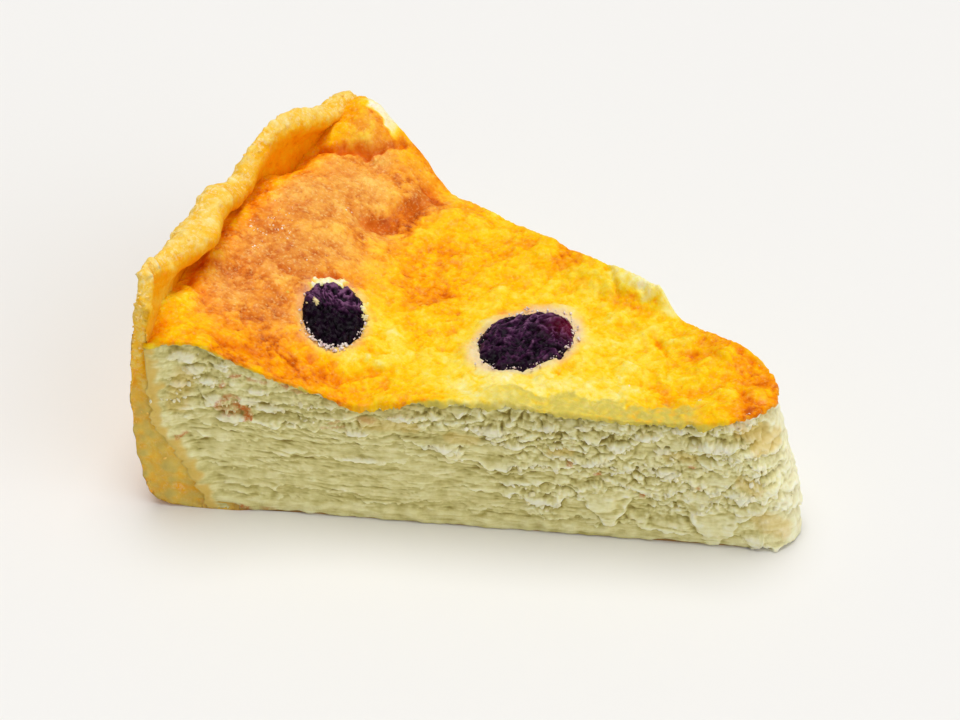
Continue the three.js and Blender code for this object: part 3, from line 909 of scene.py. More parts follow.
class Face:
    """The cut faces, tip and rear of the filling as a grid of places. Each field is a flat array:
    the stretch of the outline, place, outward direction, length along the cut, how far it is under
    the top and from the wall. What is torn there is found from those."""

    def __init__(self):
        part, share = outline_columns(FACE_COLS)
        *_, along, top = settled_edge(part, share)
        floor = face_floor(along)
        by_far_rim = UNDER_SKIN_BY_FAR_RIM * smoothstep(along, 122, 131)
        ceiling = top - UNDER_SKIN - np.where(part == FAR, by_far_rim, 0)
        z = mix(floor, ceiling, np.linspace(0, 1, FACE_ROWS)[:, None])
        self.cols = len(part)
        part, share, top = (np.broadcast_to(values, z.shape) for values in (part, share, top))
        grids = (part, *plan_path(part, share, z), z, top - z)
        part, x, y, out_x, out_y, along, z, below = (values.ravel() for values in grids)
        radius, bearing = from_cake_middle(x, y)
        self.part, self.along, self.z, self.below = part, along, z, below
        self.plan = np.column_stack([x, y])
        self.out = np.column_stack([out_x, out_y, np.zeros_like(x)])
        self.lowest = floor.min()
        self.from_wall = inner_radius(z, bearing) + FILLING_LAP - radius
        self.place = flat_points(along, z)
        self.tear()

    def tear(self):
        along, z, place = self.along, self.z, self.place
        self.rough = face_roughness(along, z)
        self.relief, self.hollow, self.brink = torn_relief(along, z, 60)
        self.broken = smoothstep(self.rough + 0.4 * noise(place * (0.10, 0.18, 0), 77), 0.5, 0.95)
        self.broad = layered(place * (0.11, 0.2, 0), 3, 71)
        self.grooves = fine_grooves(along, z, 96) * (1 - 0.75 * self.broken)
        self.tongues = placed_tongues(along, z, 104)
        self.covered = smoothstep(self.tongues, 0.1, 0.4)
        self.lumps, self.lump_share = placed_lumps(PALE_LUMPS, along, z, 108)
        self.recesses, _ = placed_lumps(RECESSES, along, z, 112)
        self.spot = stroke_strength(FACE_MARKS, along, z, 120)
        self.by_rim = smoothstep(z, 16, 21) * (1 - smoothstep(along, 26, 36))
        self.at_tip = smoothstep(along, 99, 108) * smoothstep(135 - along, 0, 8)


def crumbled(face):
    """The broken lumps and the fine grains of the cut, in mm."""
    place = face.place
    warped = place + flat_points(0.5 * noise(place * 0.5, 78), 0.4 * noise(place * 0.5, 79))
    bare = 1 - 0.6 * smoothstep(face.relief, 0.1, 0.5)
    lumps = 0.72 * curds(warped * (0.34, 0.55, 0), 80) * bare + 0.42 * curds(warped * (0.85, 1.2, 0), 86)
    lumps = face.broken * lumps * (1 - 0.75 * face.covered) * (1 - 0.45 * face.at_tip)
    return lumps * (1 - 0.5 * face.by_rim), bumps(warped * (1.6, 1.9, 0), 83) - 0.5


def face_ledges(face):
    along, z = face.along, face.z
    ledges = sawtooth(along, z, 3.1, 84) * mix(0.07, 0.4, face.rough)
    ledges = ledges + sawtooth(along, z, 1.5, 92) * mix(0.08, 0.16, face.rough)
    return ledges + 0.55 * face.at_tip * sawtooth(along, z, 4.2, 88)


def held_in(face, shift, grains):
    """Keeps the torn relief inside the wall, near the base's edge and under the lip."""
    z, below = face.z, face.below
    shift = mix(np.maximum(shift, 0.12 + 0.2 * grains), shift, smoothstep(face.from_wall, 0.5, 4.5))
    low_limit = -0.45 + 0.35 * smoothstep(20 - face.along, 0, 8)
    low_limit = low_limit + 0.3 * noise(face.place * (0.4, 0.5, 0), 118)
    shift = np.maximum(shift, mix(low_limit, -3.0, smoothstep(z, 1.8, 6.5)))
    calm = smoothstep(below, 0.2, 1.4)
    shift = np.where(below < 1.4, np.minimum(shift, mix(-0.1, shift, calm)), shift)
    shift = np.maximum(shift, mix(-0.6, -2.8, smoothstep(below, 0.8, 2.4)))
    shift = mix(softened(shift, face.cols, 1), shift, 0.5 * (1 - face.at_tip))
    return np.where(face.part == REAR, 0, shift)


def face_shift(face):
    """How far each place of the cut stands out, and how far it hangs down."""
    lumps, grains = crumbled(face)
    grainy = 0.16 * grains * mix(0.35, 1.0, face.broken) * (1 - 0.7 * face.covered)
    ledges = face_ledges(face)
    relief = face.relief * (1 - 0.35 * face.by_rim)
    hollow = face.hollow * np.where(face.part == FAR, 0.4, 1.0)
    shift = 0.35 * face.broad + mix(relief - hollow, 0.3 * relief, face.covered)
    shift = shift + ledges * (1 - face.covered) + lumps + grainy * (1 - 0.4 * face.at_tip)
    shift = shift - 0.30 * face.grooves + face.tongues + face.lumps
    shift = shift - softened(face.recesses, face.cols, 3) - 0.9 - 0.25 * face.broken
    shift = shift - under_lip_hollow(face.along, face.below) + 0.35 * face.spot * (0.6 + grains)
    droop = np.clip(0.5 * relief + 0.4 * ledges + 0.5 * face.tongues + 0.4 * face.lumps, 0, 1.0)
    droop = softened(droop, face.cols, 2) * smoothstep(face.z - face.lowest, 0.3, 1.8)
    return held_in(face, shift, grains), droop * smoothstep(face.below, 1.2, 3.0)


CAP_INSET = 3.0  # under the baked top the cheese steps in and down to a flat middle
CAP_DROP = 6.0
CAP_MIDDLE = 16.0
LOW_MIDDLE = BASE_THICKNESS + 0.3


def closed_cheese(face, points):
    """Points and triangles of the cheese, closed over the base and under the baked top."""
    cols = face.cols
    top = (FACE_ROWS - 1) * cols
    inner = len(points)
    ring = points[top:] - CAP_INSET * face.out[top:] - (0, 0, CAP_DROP)
    points = np.vstack([points, ring, (0, 0, LOW_MIDDLE), (0, 0, CAP_MIDDLE)])
    k = np.arange(cols)
    after = (k + 1) % cols
    low_middle = np.full(cols, inner + cols)
    fans = (
        (after, k, low_middle),
        (top + k, top + after, inner + after),
        (top + k, inner + after, inner + k),
        (inner + k, inner + after, low_middle + 1),
    )
    triangles = [sheet_triangles(FACE_ROWS, cols), *(np.stack(fan, 1) for fan in fans)]
    return points, outward(points, np.concatenate(triangles))


def cheese_colours(face, shift):
    along, far_side = face.along, face.part == FAR
    # Painted light and shade: the cut is darker where it lies back from its neighbours, in its hollows,
    # grooves and recesses, and lighter where it stands out, on flap edges, tongues and broad swells.
    proud = np.clip(shift - softened(shift, face.cols, 24), -0.9, 0.6)
    fine_painted_light = np.clip(shift - softened(shift, face.cols, 4), -0.3, 0.3)
    tone = 0.49 + mix(0.62, 0.8, face.broken) * proud + 0.9 * fine_painted_light + 0.12 * face.broad
    tone = tone + 0.12 * face.brink - 0.16 * face.grooves + 0.12 * face.covered
    # Painted light: lighter towards the tip.
    tone = tone + 0.16 * smoothstep(along, 70, 108) * smoothstep(128 - along, 0, 10)
    # The far cut and the tip are given paler than the near cut, whose colour is painted shade; the pale
    # lumps are their own colour.
    pale = np.where(far_side, 0.45, 0.0) + 0.45 * (face.part == TIP) * bell(along - 112, 7)
    by_wall = 1.4 + 1.3 * noise(face.place * (0.5, 0.6, 0), 122) - face.from_wall
    stains = stroke_strength(FACE_STAINS, along, face.z, 116)
    warm = np.maximum(0.85 * smoothstep(by_wall, -0.8, 1.0), stains)
    colours = {
        "relief": tone - 0.06 * face.recesses,
        "pale": np.maximum(pale, 0.45 * face.lump_share),
        "warm": warm * np.where(far_side, 0.4, 1),
        "spot": face.spot,
    }
    hidden = np.zeros(face.cols + 2)
    return {name: np.concatenate([np.clip(share, 0, 1), hidden]) for name, share in colours.items()}


def cheese_piece():
    """The cheese, its points, the outward directions there, and which of them are torn edges."""
    face = Face()
    shift, droop = face_shift(face)
    height = np.maximum(0.03, face.z - droop)
    points = np.column_stack([face.plan, height]) + face.out * shift[:, None]
    points, triangles = closed_cheese(face, points)
    piece = mesh_object("cheese", points, triangles, cheese_look(), cheese_colours(face, shift))
    torn = (face.brink > 0.22) & (face.broken > 0.4) & (face.at_tip < 0.3)
    torn = torn | (face.lump_share * (1 - face.lump_share) > 0.2)
    return piece, points, face.out, np.nonzero(torn & (face.part != REAR))[0]


# ---- The baked top ----

# x, y, radius, value pulled to, strength: how brown the top is baked, 0 cream to 1 dark
BAKED_AREAS = (
    (-40, 8, 12, 0.77, 1), (-37, -8, 10, 0.84, 1), (-41, -20, 8, 0.82, 0.9), (-34, -19, 6, 0.82, 0.9),
    (-37, 20, 8, 0.7, 0.9), (-30, -28, 6, 0.74, 1.1), (-24, -28.5, 5, 0.71, 0.9), (-18, -27, 4, 0.63, 0.9),
    (-48, -28, 5, 0.38, 1.2), (-42, -33, 6, 0.52, 0.9), (-36, -30, 3, 0.58, 0.9),
    (-10, -25, 4.5, 0.61, 1.6), (-11, -19, 3.8, 0.35, 0.9), (-44, 32, 7, 0.56, 1), (-35, 32, 6, 0.6, 0.9),
    (-30, 30, 5, 0.58, 0.9), (-26, 25, 4, 0.82, 0.7), (-20, 22, 6, 0.58, 0.8), (-16, 11, 5, 0.6, 0.7),
    (-15, 2, 5, 0.68, 1), (-23, 9, 5, 0.62, 0.6), (-7, 17, 5, 0.6, 0.7), (-9, 23, 6, 0.44, 0.9),
    (1, 21, 5, 0.54, 0.8), (-16, -10, 8, 0.4, 0.8), (-12, -17, 7, 0.31, 0.8), (-4, 8, 7, 0.42, 0.7),
    (0, -14, 7, 0.27, 0.9), (8, -16, 7, 0.17, 1.1), (12, 9, 6, 0.34, 0.9), (7, 19, 4, 0.48, 0.8),
    (17, 3, 6, 0.32, 0.9), (19, 8, 4, 0.46, 0.6), (20, -4, 5, 0.31, 0.9), (24, -9, 6, 0.25, 0.9),
    (18, -13, 5, 0.24, 0.9), (28, 3, 4, 0.37, 0.7), (29, 10, 4, 0.42, 0.7), (34, 4, 4, 0.56, 0.9),
    (32, -7, 4, 0.46, 0.8), (39, 1, 5, 0.5, 0.8), (38, -7, 4, 0.5, 0.8), (40, 8, 4, 0.68, 0.8),
    (47, 2, 3.5, 0.73, 1.6), (48, -3, 3, 0.75, 1.6), (44, 6, 3.5, 0.58, 0.9), (33, 11, 3, 0.64, 0.8),
    (45, -8, 4, 0.6, 0.8), (20.5, 17.2, 2.8, 0.08, 1.5), (16, 18.3, 2.8, 0.08, 1.5),
    (11.5, 20.4, 2.4, 0.12, 1.4), (24.2, 15.6, 2.2, 0.08, 1.4), (17.5, 13.4, 2.4, 0.46, 1.2),
    (21, 12.6, 2, 0.47, 1), (-49, 8, 3.5, 0.7, 0.7), (-45, 19.4, 2.6, 0.52, 1.2), (-41.5, 20, 2.4, 0.54, 1),
    (-45.4, 14, 3.2, 0.5, 1.2), (-35.6, 16, 2.8, 0.88, 1.2), (-31.4, 18.8, 2.4, 0.54, 1.2),
    (-30.3, 13.8, 1.9, 0.97, 1.6), (-30.3, 6.8, 2.2, 0.84, 1), (-37.5, 4.7, 3, 0.6, 1.3),
    (-33.2, 5.2, 2.6, 0.48, 1.2), (-48.5, 4, 2.6, 0.7, 1), (-43.4, 5.6, 2.6, 0.74, 1),
    (-43, -1, 3.4, 0.84, 1.2), (-43.1, -14, 2.6, 0.84, 1), (-37.3, -17, 2.8, 0.82, 1.2),
    (-51.5, 5, 2.4, 0.66, 1.2), (-49.5, -2.5, 2.4, 0.66, 1.2), (-47.4, -6.5, 2.2, 0.66, 1.2),
    (-45.6, -11.8, 2.6, 0.56, 1.2), (-44.8, -18, 2.6, 0.52, 1.2), (-36.6, -11.6, 2.4, 0.5, 1.1),
    (-40.2, -22.8, 2.4, 0.74, 1.2), (-46.6, -26.5, 3.2, 0.36, 1.8), (-30.5, 30.4, 3, 0.58, 1.2),
    (-25.9, 25.6, 2.2, 0.88, 1.4), (-31.4, 26, 2, 0.84, 1.2), (-27.2, 21.5, 2.2, 0.86, 1.2),
    (-26.6, 17, 2, 0.84, 1), (-38.9, 25.8, 2.4, 0.84, 1.4), (-34.6, 27.2, 2.2, 0.8, 1.2),
    (-47.2, 22.2, 1.8, 0.74, 1.2), (-43.6, 22.8, 1.8, 0.72, 1.2), (-33.2, -6, 3.4, 0.78, 0.9),
    (-47, 36, 2.6, 0.02, 1), (-41, 38, 2.6, 0.02, 1),
)
BAKED_ELSEWHERE = 0.42
ELSEWHERE_PULL = 0.12

# x, y, radius, strength: where the top is dull tan and grainy; its duller, paler colour there is partly
# painted sheen
TAN_AREAS = (
    (-41, 9, 10, 1), (-38, -6, 10, 1), (-41, -18, 7, 0.8), (-37, 19, 8, 1), (-33, 1, 7, 0.8),
    (-34, -18, 6, 0.6), (-32, 12, 5, 0.9), (-37, 27, 4, 0.8), (-27, 24, 4, 0.7), (-30, 28, 4, 0.3),
    (-43, 32, 6, 0.35),
)

# x0, y0, x1, y1, width, depth of the creases
CREASES = (
    (-46.4, 24.2, -43.6, 25, 0.8, 1.5), (-43.6, 25, -40.7, 27.2, 0.8, 1.9),
    (-40.7, 27.2, -37.4, 29.6, 0.8, 1.7), (-37.4, 29.6, -35, 32.6, 0.8, 0.9),
    (-27.4, 27.9, -24.5, 25.5, 1.2, 1.3), (-31.8, 12, -29, 15.5, 1.8, 1), (-29, 15.5, -26.5, 22, 1.6, 0.8),
    (-26.5, 22, -25.2, 26.2, 1.4, 0.9), (-30.6, -7.4, -28.4, -4.7, 0.9, 1.4),
    (8.4, 22.4, 12.1, 17.5, 0.6, 0.8), (12.1, 17.5, 15.1, 14.4, 0.6, 0.9), (17.2, 15, 19.9, 15.2, 0.5, 0.6),
    (15.1, 14.4, 22.4, 13.6, 0.8, 0.4), (25.9, 6.6, 28.5, 4.3, 0.6, 0.8), (28.5, 4.3, 32.6, 6.4, 0.6, 0.6),
    (38, 9.4, 45.2, 6.8, 0.6, 0.6), (-16.6, 10.2, -11.6, 2.4, 1, 0.4), (-36, -31, -30.2, -29, 1.2, 0.7),
    (-47.8, -20.4, -42.8, -24, 0.9, 0.6), (-24.2, -23.6, -20.6, -25.6, 1, 0.6),
    (-18.4, -24.6, -14.6, -21.4, 0.9, 0.7), (-14.6, -21.4, -11.4, -19, 0.8, 0.6),
    (-4.5, -21, 0.6, -20.4, 0.8, 0.5), (31, -5, 33.6, -7.6, 0.7, 0.5), (42.4, 0.6, 46.4, -5.4, 0.7, 0.5),
    (-45.6, 17, -40, 21, 1.6, 0.5), (-46, 3, -41.6, 7.5, 1.4, 0.4), (-39.2, -11.6, -34.8, -9, 1.4, 0.4),
)


def crease_depth(x, y):
    depth = np.zeros_like(x)
    place = flat_points(x, y)
    shaken_x = x + waves(place, (0.5, 0.45, 101), (0.2, 1.3, 103))
    shaken_y = y + waves(place, (0.5, 0.45, 102), (0.2, 1.3, 104))
    for *ends, width, deep in CREASES:
        away = distance_to_stroke(shaken_x, shaken_y, *ends)
        depth = np.maximum(depth, deep * bell(away, width))
    return depth


# pale custard lies over the edge of this berry: middle and half width of each arc, in degrees
# from the berry's long axis
CUSTARD_BERRY = "berry_1"
CUSTARD_ARCS = ((12, 34), (-58, 14))
PIT_DEPTH = 3.2  # the top is open over each berry
BERRY_HALO = {"berry_1": 0.35, "berry_2": 0.75}  # how strongly the juice stains the top round it


def turned(x, y, degrees):
    """A plan direction, turned about the upright."""
    angle = math.radians(degrees)
    return x * math.cos(angle) - y * math.sin(angle), x * math.sin(angle) + y * math.cos(angle)


def berry_reach(berry, x, y):
    """Distance from a berry's middle, 1 at its edge, and the angle round it."""
    _, at_x, at_y, length, width, _, _, turn, _ = berry
    long, wide = turned(x - at_x, y - at_y, -turn)
    return np.hypot(long / (length / 2), wide / (width / 2)), np.arctan2(wide, long)


def custard_cover(angle, place):
    """How far custard lies over a berry at this angle round it, 0 to 1."""
    over = np.zeros_like(angle)
    uneven = 0.2 * noise(place / 1.1, 149)
    for at, half in CUSTARD_ARCS:
        away = np.abs(np.angle(np.exp(1j * (angle - math.radians(at)))))
        over = np.maximum(over, smoothstep(math.radians(half) - away + uneven, 0, 0.25))
    return over


def berry_surroundings(x, y):
    """Round the berries: how much the top is lifted, how stained it is and how much custard."""
    place = flat_points(x, y)
    lift = np.zeros_like(x)
    stain = np.zeros_like(x)
    custard = np.zeros_like(x)
    for berry in BERRIES:
        reach, angle = berry_reach(berry, x, y)
        over = np.zeros_like(x)
        if berry[0] == CUSTARD_BERRY:
            over = custard_cover(angle, place)
            shaken = reach + 0.08 * noise(place / 1.3, 147) + 0.05 * noise(place / 0.6, 148)
            custard = over * smoothstep(shaken, 0.76, 0.82) * smoothstep(1.12 - shaken, 0, 0.06)
            lift = lift + custard * (0.75 + 0.45 * (bumps(place / 0.9, 146) - 0.5))
        pit = 1 - smoothstep(reach + 0.2 * over, 0.72, 0.92)
        lift = lift - PIT_DEPTH * pit + 0.25 * bell(reach - 1.14, 0.12)
        halo = BERRY_HALO[berry[0]] * (0.70 + 0.30 * np.cos(angle) ** 2)
        reached = 0.15 * (1 + 0.5 * noise(place / 2.5, 145))
        stain = np.maximum(stain, halo * bell(np.maximum(0, reach - 0.98), reached))
    return lift, stain * (1 - custard), custard


def tan_share(x, y):
    """How dull and grainy each place of the top is, 0 to 1."""
    tan = np.zeros_like(x)
    for *middle, width, strength in TAN_AREAS:
        tan = np.maximum(tan, strength * bell(distance_to(middle, x, y), width))
    return np.clip(tan * 1.25, 0, 1)


def skin_relief(x, y):
    """Fine relief of the baked top in mm, and what its colour needs to know about it."""
    place = flat_points(x, y)
    radius, bearing = from_cake_middle(x, y)
    tan = tan_share(x, y)
    tip = 1 - smoothstep(radius, 36, 52)
    warped = place + flat_points(0.9 * noise(place * 0.3, 110), 0.9 * noise(place * 0.3, 111))
    from_large_crack, _, large_draws = lumps_about(warped / 4.6, 120)
    from_small_crack, _, small_draws = lumps_about(warped / 2.1, 130)
    large_crackle = 1 - smoothstep(from_large_crack, 0.01, 0.07)
    large_crackle = large_crackle * smoothstep(noise(place / 7.0, 133), -0.1, 0.2)
    crackle = 1 - smoothstep(from_small_crack, 0.02, 0.11)
    crackle = crackle * smoothstep(noise(place / 4.5, 132), 0.0, 0.3)
    crackle = np.maximum(crackle, large_crackle) * (1 - smoothstep(radius, 116, 119))
    lump = bumps(warped / 4.6, 121) - 0.55
    pebble = bumps(warped / 2.0, 131) - 0.55
    speck = bumps(warped / 0.95, 135) - 0.55
    flake = layered(place / 6.0, 4, 137, 0.6)
    flake = smoothstep(flake, 0.03, 0.07) - smoothstep(-flake, 0.13, 0.17)
    creases = crease_depth(x, y)
    lift, stain, custard = berry_surroundings(x, y)
    height = 0.6 * lump * mix(mix(0.9, 0.45, tan), 1.4, tip) + 0.28 * pebble * mix(1, 0.75, tan)
    height = height + 0.14 * speck * mix(0.9, 1.3, tan) + 0.16 * flake * (1 - 0.6 * tan)
    height = height + 0.3 * layered(place / 7.5, 2, 140) + 0.08 * layered(place / 1.3, 2, 143)
    height = height - creases - 0.16 * crackle + 1.3 * bell(distance_to((-48.5, -28.5), x, y), 4.5)
    rim_lump = smoothstep(radius, 112.0, 118.5) * bell(np.degrees(bearing) + 6.0, 6.2)
    notes = {
        "tan": tan,
        "creases": creases,
        "crackle": crackle,
        "large_tag": large_draws[0] - 0.5,
        "small_tag": small_draws[0] - 0.5,
        # paler on the tops of the lumps: painted highlights
        "raised_highlight": 0.10 * lump + 0.08 * pebble + 0.09 * speck + 0.07 * flake,
        "stain": stain,
        "custard": custard,
    }
    return height + 2.5 * rim_lump + lift, notes


def bake_and_light_map(x, y, notes):
    """How brown each place of the top is, 0 to 1, with painted shade in its cracks and creases and painted
    highlights on its lumps.
    """
    place = flat_points(x, y)
    near_x = x + waves(place, (1.2, 0.22, 150), (0.9, 0.6, 152))
    near_y = y + waves(place, (1.2, 0.22, 151), (0.9, 0.6, 153))
    total = np.full_like(x, ELSEWHERE_PULL * BAKED_ELSEWHERE)
    weight = np.full_like(x, ELSEWHERE_PULL)
    for *middle, width, value, strength in BAKED_AREAS:
        pull = strength * bell(distance_to(middle, near_x, near_y), width * 0.8)
        total = total + pull * value
        weight = weight + pull
    bake_and_painted_light = total / weight + 0.07 * notes["large_tag"] + 0.05 * notes["small_tag"]
    bake_and_painted_light = bake_and_painted_light + 0.09 * layered(place / 3.0, 3, 160) + notes["tan"] * 0.09 * noise(place / 3.2, 164)
    # Painted shade: browner in the cracks and the creases.
    crack_shade = 0.10 * notes["crackle"] * smoothstep(bake_and_painted_light, 0.1, 0.3)
    bake_and_painted_light = bake_and_painted_light + 0.16 * np.clip(notes["creases"], 0, 1) + crack_shade
    # Painted highlights: paler on the tops of the lumps.
    bake_and_painted_light = bake_and_painted_light - notes["raised_highlight"] * mix(1.0, 0.6, notes["tan"]) * smoothstep(bake_and_painted_light, 0.2, 0.4)
    # beyond the far lump the pale filling shows
    radius, bearing = from_cake_middle(x, y)
    from_far_cut = radius * np.sin(HALF_CUT - bearing)
    ragged = waves(place, (0.7, 0.4, 154), (0.4, 1.1, 155))
    uncoloured = smoothstep(2.9 - from_far_cut + ragged, 0, 0.7) * smoothstep(-35.0 - x, 0, 3)
    return mix(mix(bake_and_painted_light, 0.04, uncoloured), 0.06, notes["custard"])


SKIN_SPACING = 0.34
SKIN_EDGE_COLS = (300, 84, 270, 110)
SKIN_CORNERS = ((-56, -42), (56, 42))
LIP_ROUNDING = 0.75
UNDERSIDE_SPACING = 4.0
UNDERSIDE_DEPTH = 7.0
HIDDEN_DROP = 3.0  # counted as this far down the lip, where no brown is left

# Down the side of the lip: share of its thickness, how far in from its edge
LIP_SIDE = ((0.5, -0.04), (0.85, 0.0), (1.0, 0.25), (1.15, 1.1), (1.3, 2.6))


# The lip of the baked top along the cut: how thick it looks and how far it stands out
def lip_thickness(along):
    thick = 0.8 + 0.75 * smoothstep(along, 40, 50) - 0.55 * smoothstep(along, 58, 64)
    thick = thick + 0.9 * bell(along - 38.0, 4.4) + 1.0 * smoothstep(along, 136, 142)
    return thick + 1.0 * bell(along - 91.5, 1.3) - 0.3 * smoothstep(along, 110, 120)


def lip_overhang(along):
    out = 0.08 + 0.42 * smoothstep(along, 42, 52) + 0.15 * smoothstep(along, 92, 97)
    out = out - 0.5 * smoothstep(along, 106, 114)
    return out + 0.75 * bell(along - 38.0, 4.8) + 0.2 * bell(along - 31, 3)


def uneven_lip(part, along):
    """The lip's thickness and overhang with their unevenness, for each column of the edge."""
    place = flat_points(along, 0 * along)
    uneven = 1 + waves(place, (0.5, 0.22, 172), (0.4, 0.7, 173), (0.25, 1.6, 175), (0.22, 3.1, 178))
    thick = lip_thickness(along) * np.maximum(uneven, 0.35)
    thick = np.maximum(thick, 3.2 * smoothstep(along, 117, 124))
    over = lip_overhang(along) * np.where(part == FAR, 0.6, 1.0) * (1 + 0.6 * noise(place * 0.3, 174))
    over = over + waves(place, (0.20, 0.5, 170), (0.16, 1.3, 171))
    return np.where(part == REAR, 1.2, thick), np.where(part == REAR, 0.7, over)


def lip_rings(part, edge):
    """Rings of points from the rounded upper edge of the lip down its side and in under the top,
    and how far each place of a ring is under the top."""
    x, y, out_x, out_y, along, level = edge
    thick, over = uneven_lip(part, along)
    rounding = np.minimum(LIP_ROUNDING, 0.5 * thick)

    def ring_at(inset, drop):
        px = x + out_x * (over - inset)
        py = y + out_y * (over - inset)
        relief, _ = skin_relief(px, py)
        height = skin_height(px, py) + relief * smoothstep(inset, -0.5, 1.0) - drop
        return np.column_stack([px, py, height])

    rings = []
    drops = []
    for turn in np.linspace(0, math.pi / 2, 5):
        drops.append(rounding * (1 - math.cos(turn)))
        rings.append(ring_at(rounding * (1 - math.sin(turn)), drops[-1]))
    for down, inset in LIP_SIDE:
        drops.append(rounding + (thick - rounding) * down)
        side = np.column_stack([x, y, level - drops[-1]])
        rough = waves(side, (0.22, 0.9, 176), (0.12, 1.9, 177))
        rings.append(ring_at(inset - rough * (inset < 0.5), drops[-1]))
    return rings, drops


def lip_browned(points, along):
    """How far down the lip the brown of the top reaches, in mm."""
    browned = 0.55 + 0.5 * (1 - smoothstep(along, 28, 44)) + 0.9 * bell(along - 38.5, 4.5)
    browned = browned + 0.35 * smoothstep(along, 92, 98)
    browned = browned * (1 + waves(points, (0.8, 0.45, 180), (0.5, 1.2, 181)))
    return browned + 3.0 * bell(along - 37.5, 6.0) + 1.6 * bell(along - 98, 5.5)


def shaded_cream_strip(points, radius, bearing):
    """The pale strip of the top along the middle of the near cut, 0 to 1, which is tinted dull olive:
    painted shade.
    """
    from_cut = radius * np.sin(HALF_CUT + bearing)
    beside = FACE_START - radius * np.cos(HALF_CUT + bearing)
    width = 3.9 + waves(points, (1.4, 0.35, 183), (0.5, 1.1, 184))
    there = smoothstep(beside, 50, 66) * smoothstep(92 - beside, 0, 4)
    return there * smoothstep(width - from_cut, -0.2, 0.7)


def skin_colours(points, along, drop):
    """`along` and `drop` are the length along the cut and the depth under the top, on the lip."""
    x, y = points[:, 0], points[:, 1]
    radius, bearing = from_cake_middle(x, y)
    _, notes = skin_relief(x, y)
    browned = lip_browned(points, along)
    fade = smoothstep(drop, 0.25 * browned, 0.25 + 1.25 * browned)
    bake_and_painted_light = mix(bake_and_light_map(x, y, notes), 0.14, fade * 0.6)
    lumpy_end = smoothstep(np.degrees(bearing), -13.5, -10.5)
    bake_and_painted_light = mix(bake_and_painted_light, 0.66, 0.85 * smoothstep(radius, 117.5, 120.5) * lumpy_end)
    bake_and_painted_light = bake_and_painted_light + 0.05 * notes["tan"] * notes["small_tag"]
    # Painted shade: the side of the lip and the pale strip by the near cut are tinted dull olive, less
    # towards the far cut.
    edge = np.maximum(fade * (1 - 0.85 * smoothstep(y, 4, 9)), 0.95 * shaded_cream_strip(points, radius, bearing))
    tan = notes["tan"] * (1 - smoothstep(radius, 114.5, 118)) * (1 - notes["custard"])
    # Painted shade: darker orange along the creases.
    crease_shade = np.clip(0.45 * notes["creases"] * smoothstep(bake_and_painted_light, 0.45, 0.62), 0, 0.75)
    colours = {
        "bake_and_painted_light": bake_and_painted_light,
        "crease_shade": crease_shade * (1 - fade),
        "tan": tan,
        "grainy": np.clip(0.28 + 0.5 * notes["tan"], 0, 1) * (1 - fade),
        "stain": notes["stain"],
        "edge": edge * (0.85 + 0.5 * noise(points * 0.9, 182)),
    }
    return {name: np.clip(share, 0, 1) for name, share in colours.items()}


def skin_piece():
    """The baked top: a scatter of points inside its first ring, the lip's rings, and an underside."""
    part, share = outline_columns(SKIN_EDGE_COLS)
    edge = settled_edge(part, share)
    _, _, out_x, out_y, along, _ = edge
    rings, drops = lip_rings(part, edge)
    cols = len(part)
    first, last = rings[0][:, :2], rings[-1][:, :2]

    random = np.random.default_rng(21)
    upper = loose_places(*SKIN_CORNERS, SKIN_SPACING, staggered=True)
    upper = upper + random.uniform(-0.08, 0.08, upper.shape)
    upper = upper[inside_outline(upper, first, 0.22)]
    x, y = upper.T
    relief, _ = skin_relief(x, y)
    lower = loose_places(*SKIN_CORNERS, UNDERSIDE_SPACING)
    lower = lower[inside_outline(lower, last, 2.5)]
    upper_points = np.column_stack([upper, skin_height(x, y) + relief])
    lower_points = np.column_stack([lower, skin_height(*lower.T) - UNDERSIDE_DEPTH])
    points = np.vstack([*rings, upper_points, lower_points])

    on_lip = len(rings) * cols
    band = sheet_triangles(len(rings), cols)
    top = filled_outline(first, upper, 0, on_lip)
    underside = filled_outline(last, lower, on_lip - cols, on_lip + len(upper))
    triangles = [
        outward_band(points, band, out_x, out_y),
        facing(points, top, (0, 0, 1)),
        facing(points, underside, (0, 0, -1)),
    ]
    along = np.concatenate([np.tile(along, len(rings)), np.zeros(len(points) - on_lip)])
    drop = np.concatenate([*drops, np.zeros(len(upper)), np.full(len(lower), HIDDEN_DROP)])
    colours = skin_colours(points, along, drop)
    return mesh_object("baked_top", points, np.concatenate(triangles), skin_look(), colours)


# ---- Pastry ----

PASTRY_COLS = 250
CUT_SPACING = 0.36
CUT_CORNERS = ((12, 0), (126, 48))  # radius, height
BASE_INSET = 0.8  # the base stands back this far from the cuts
BASE_TIP_INSET = 1.8  # and this far from the blunt tip
INNER_RIM = 26.0  # above this height the rim's inner side shows over the filling
FOOT, OUTER, CREST, INNER, BASE_TOP, UNDERSIDE, CUT = range(7)


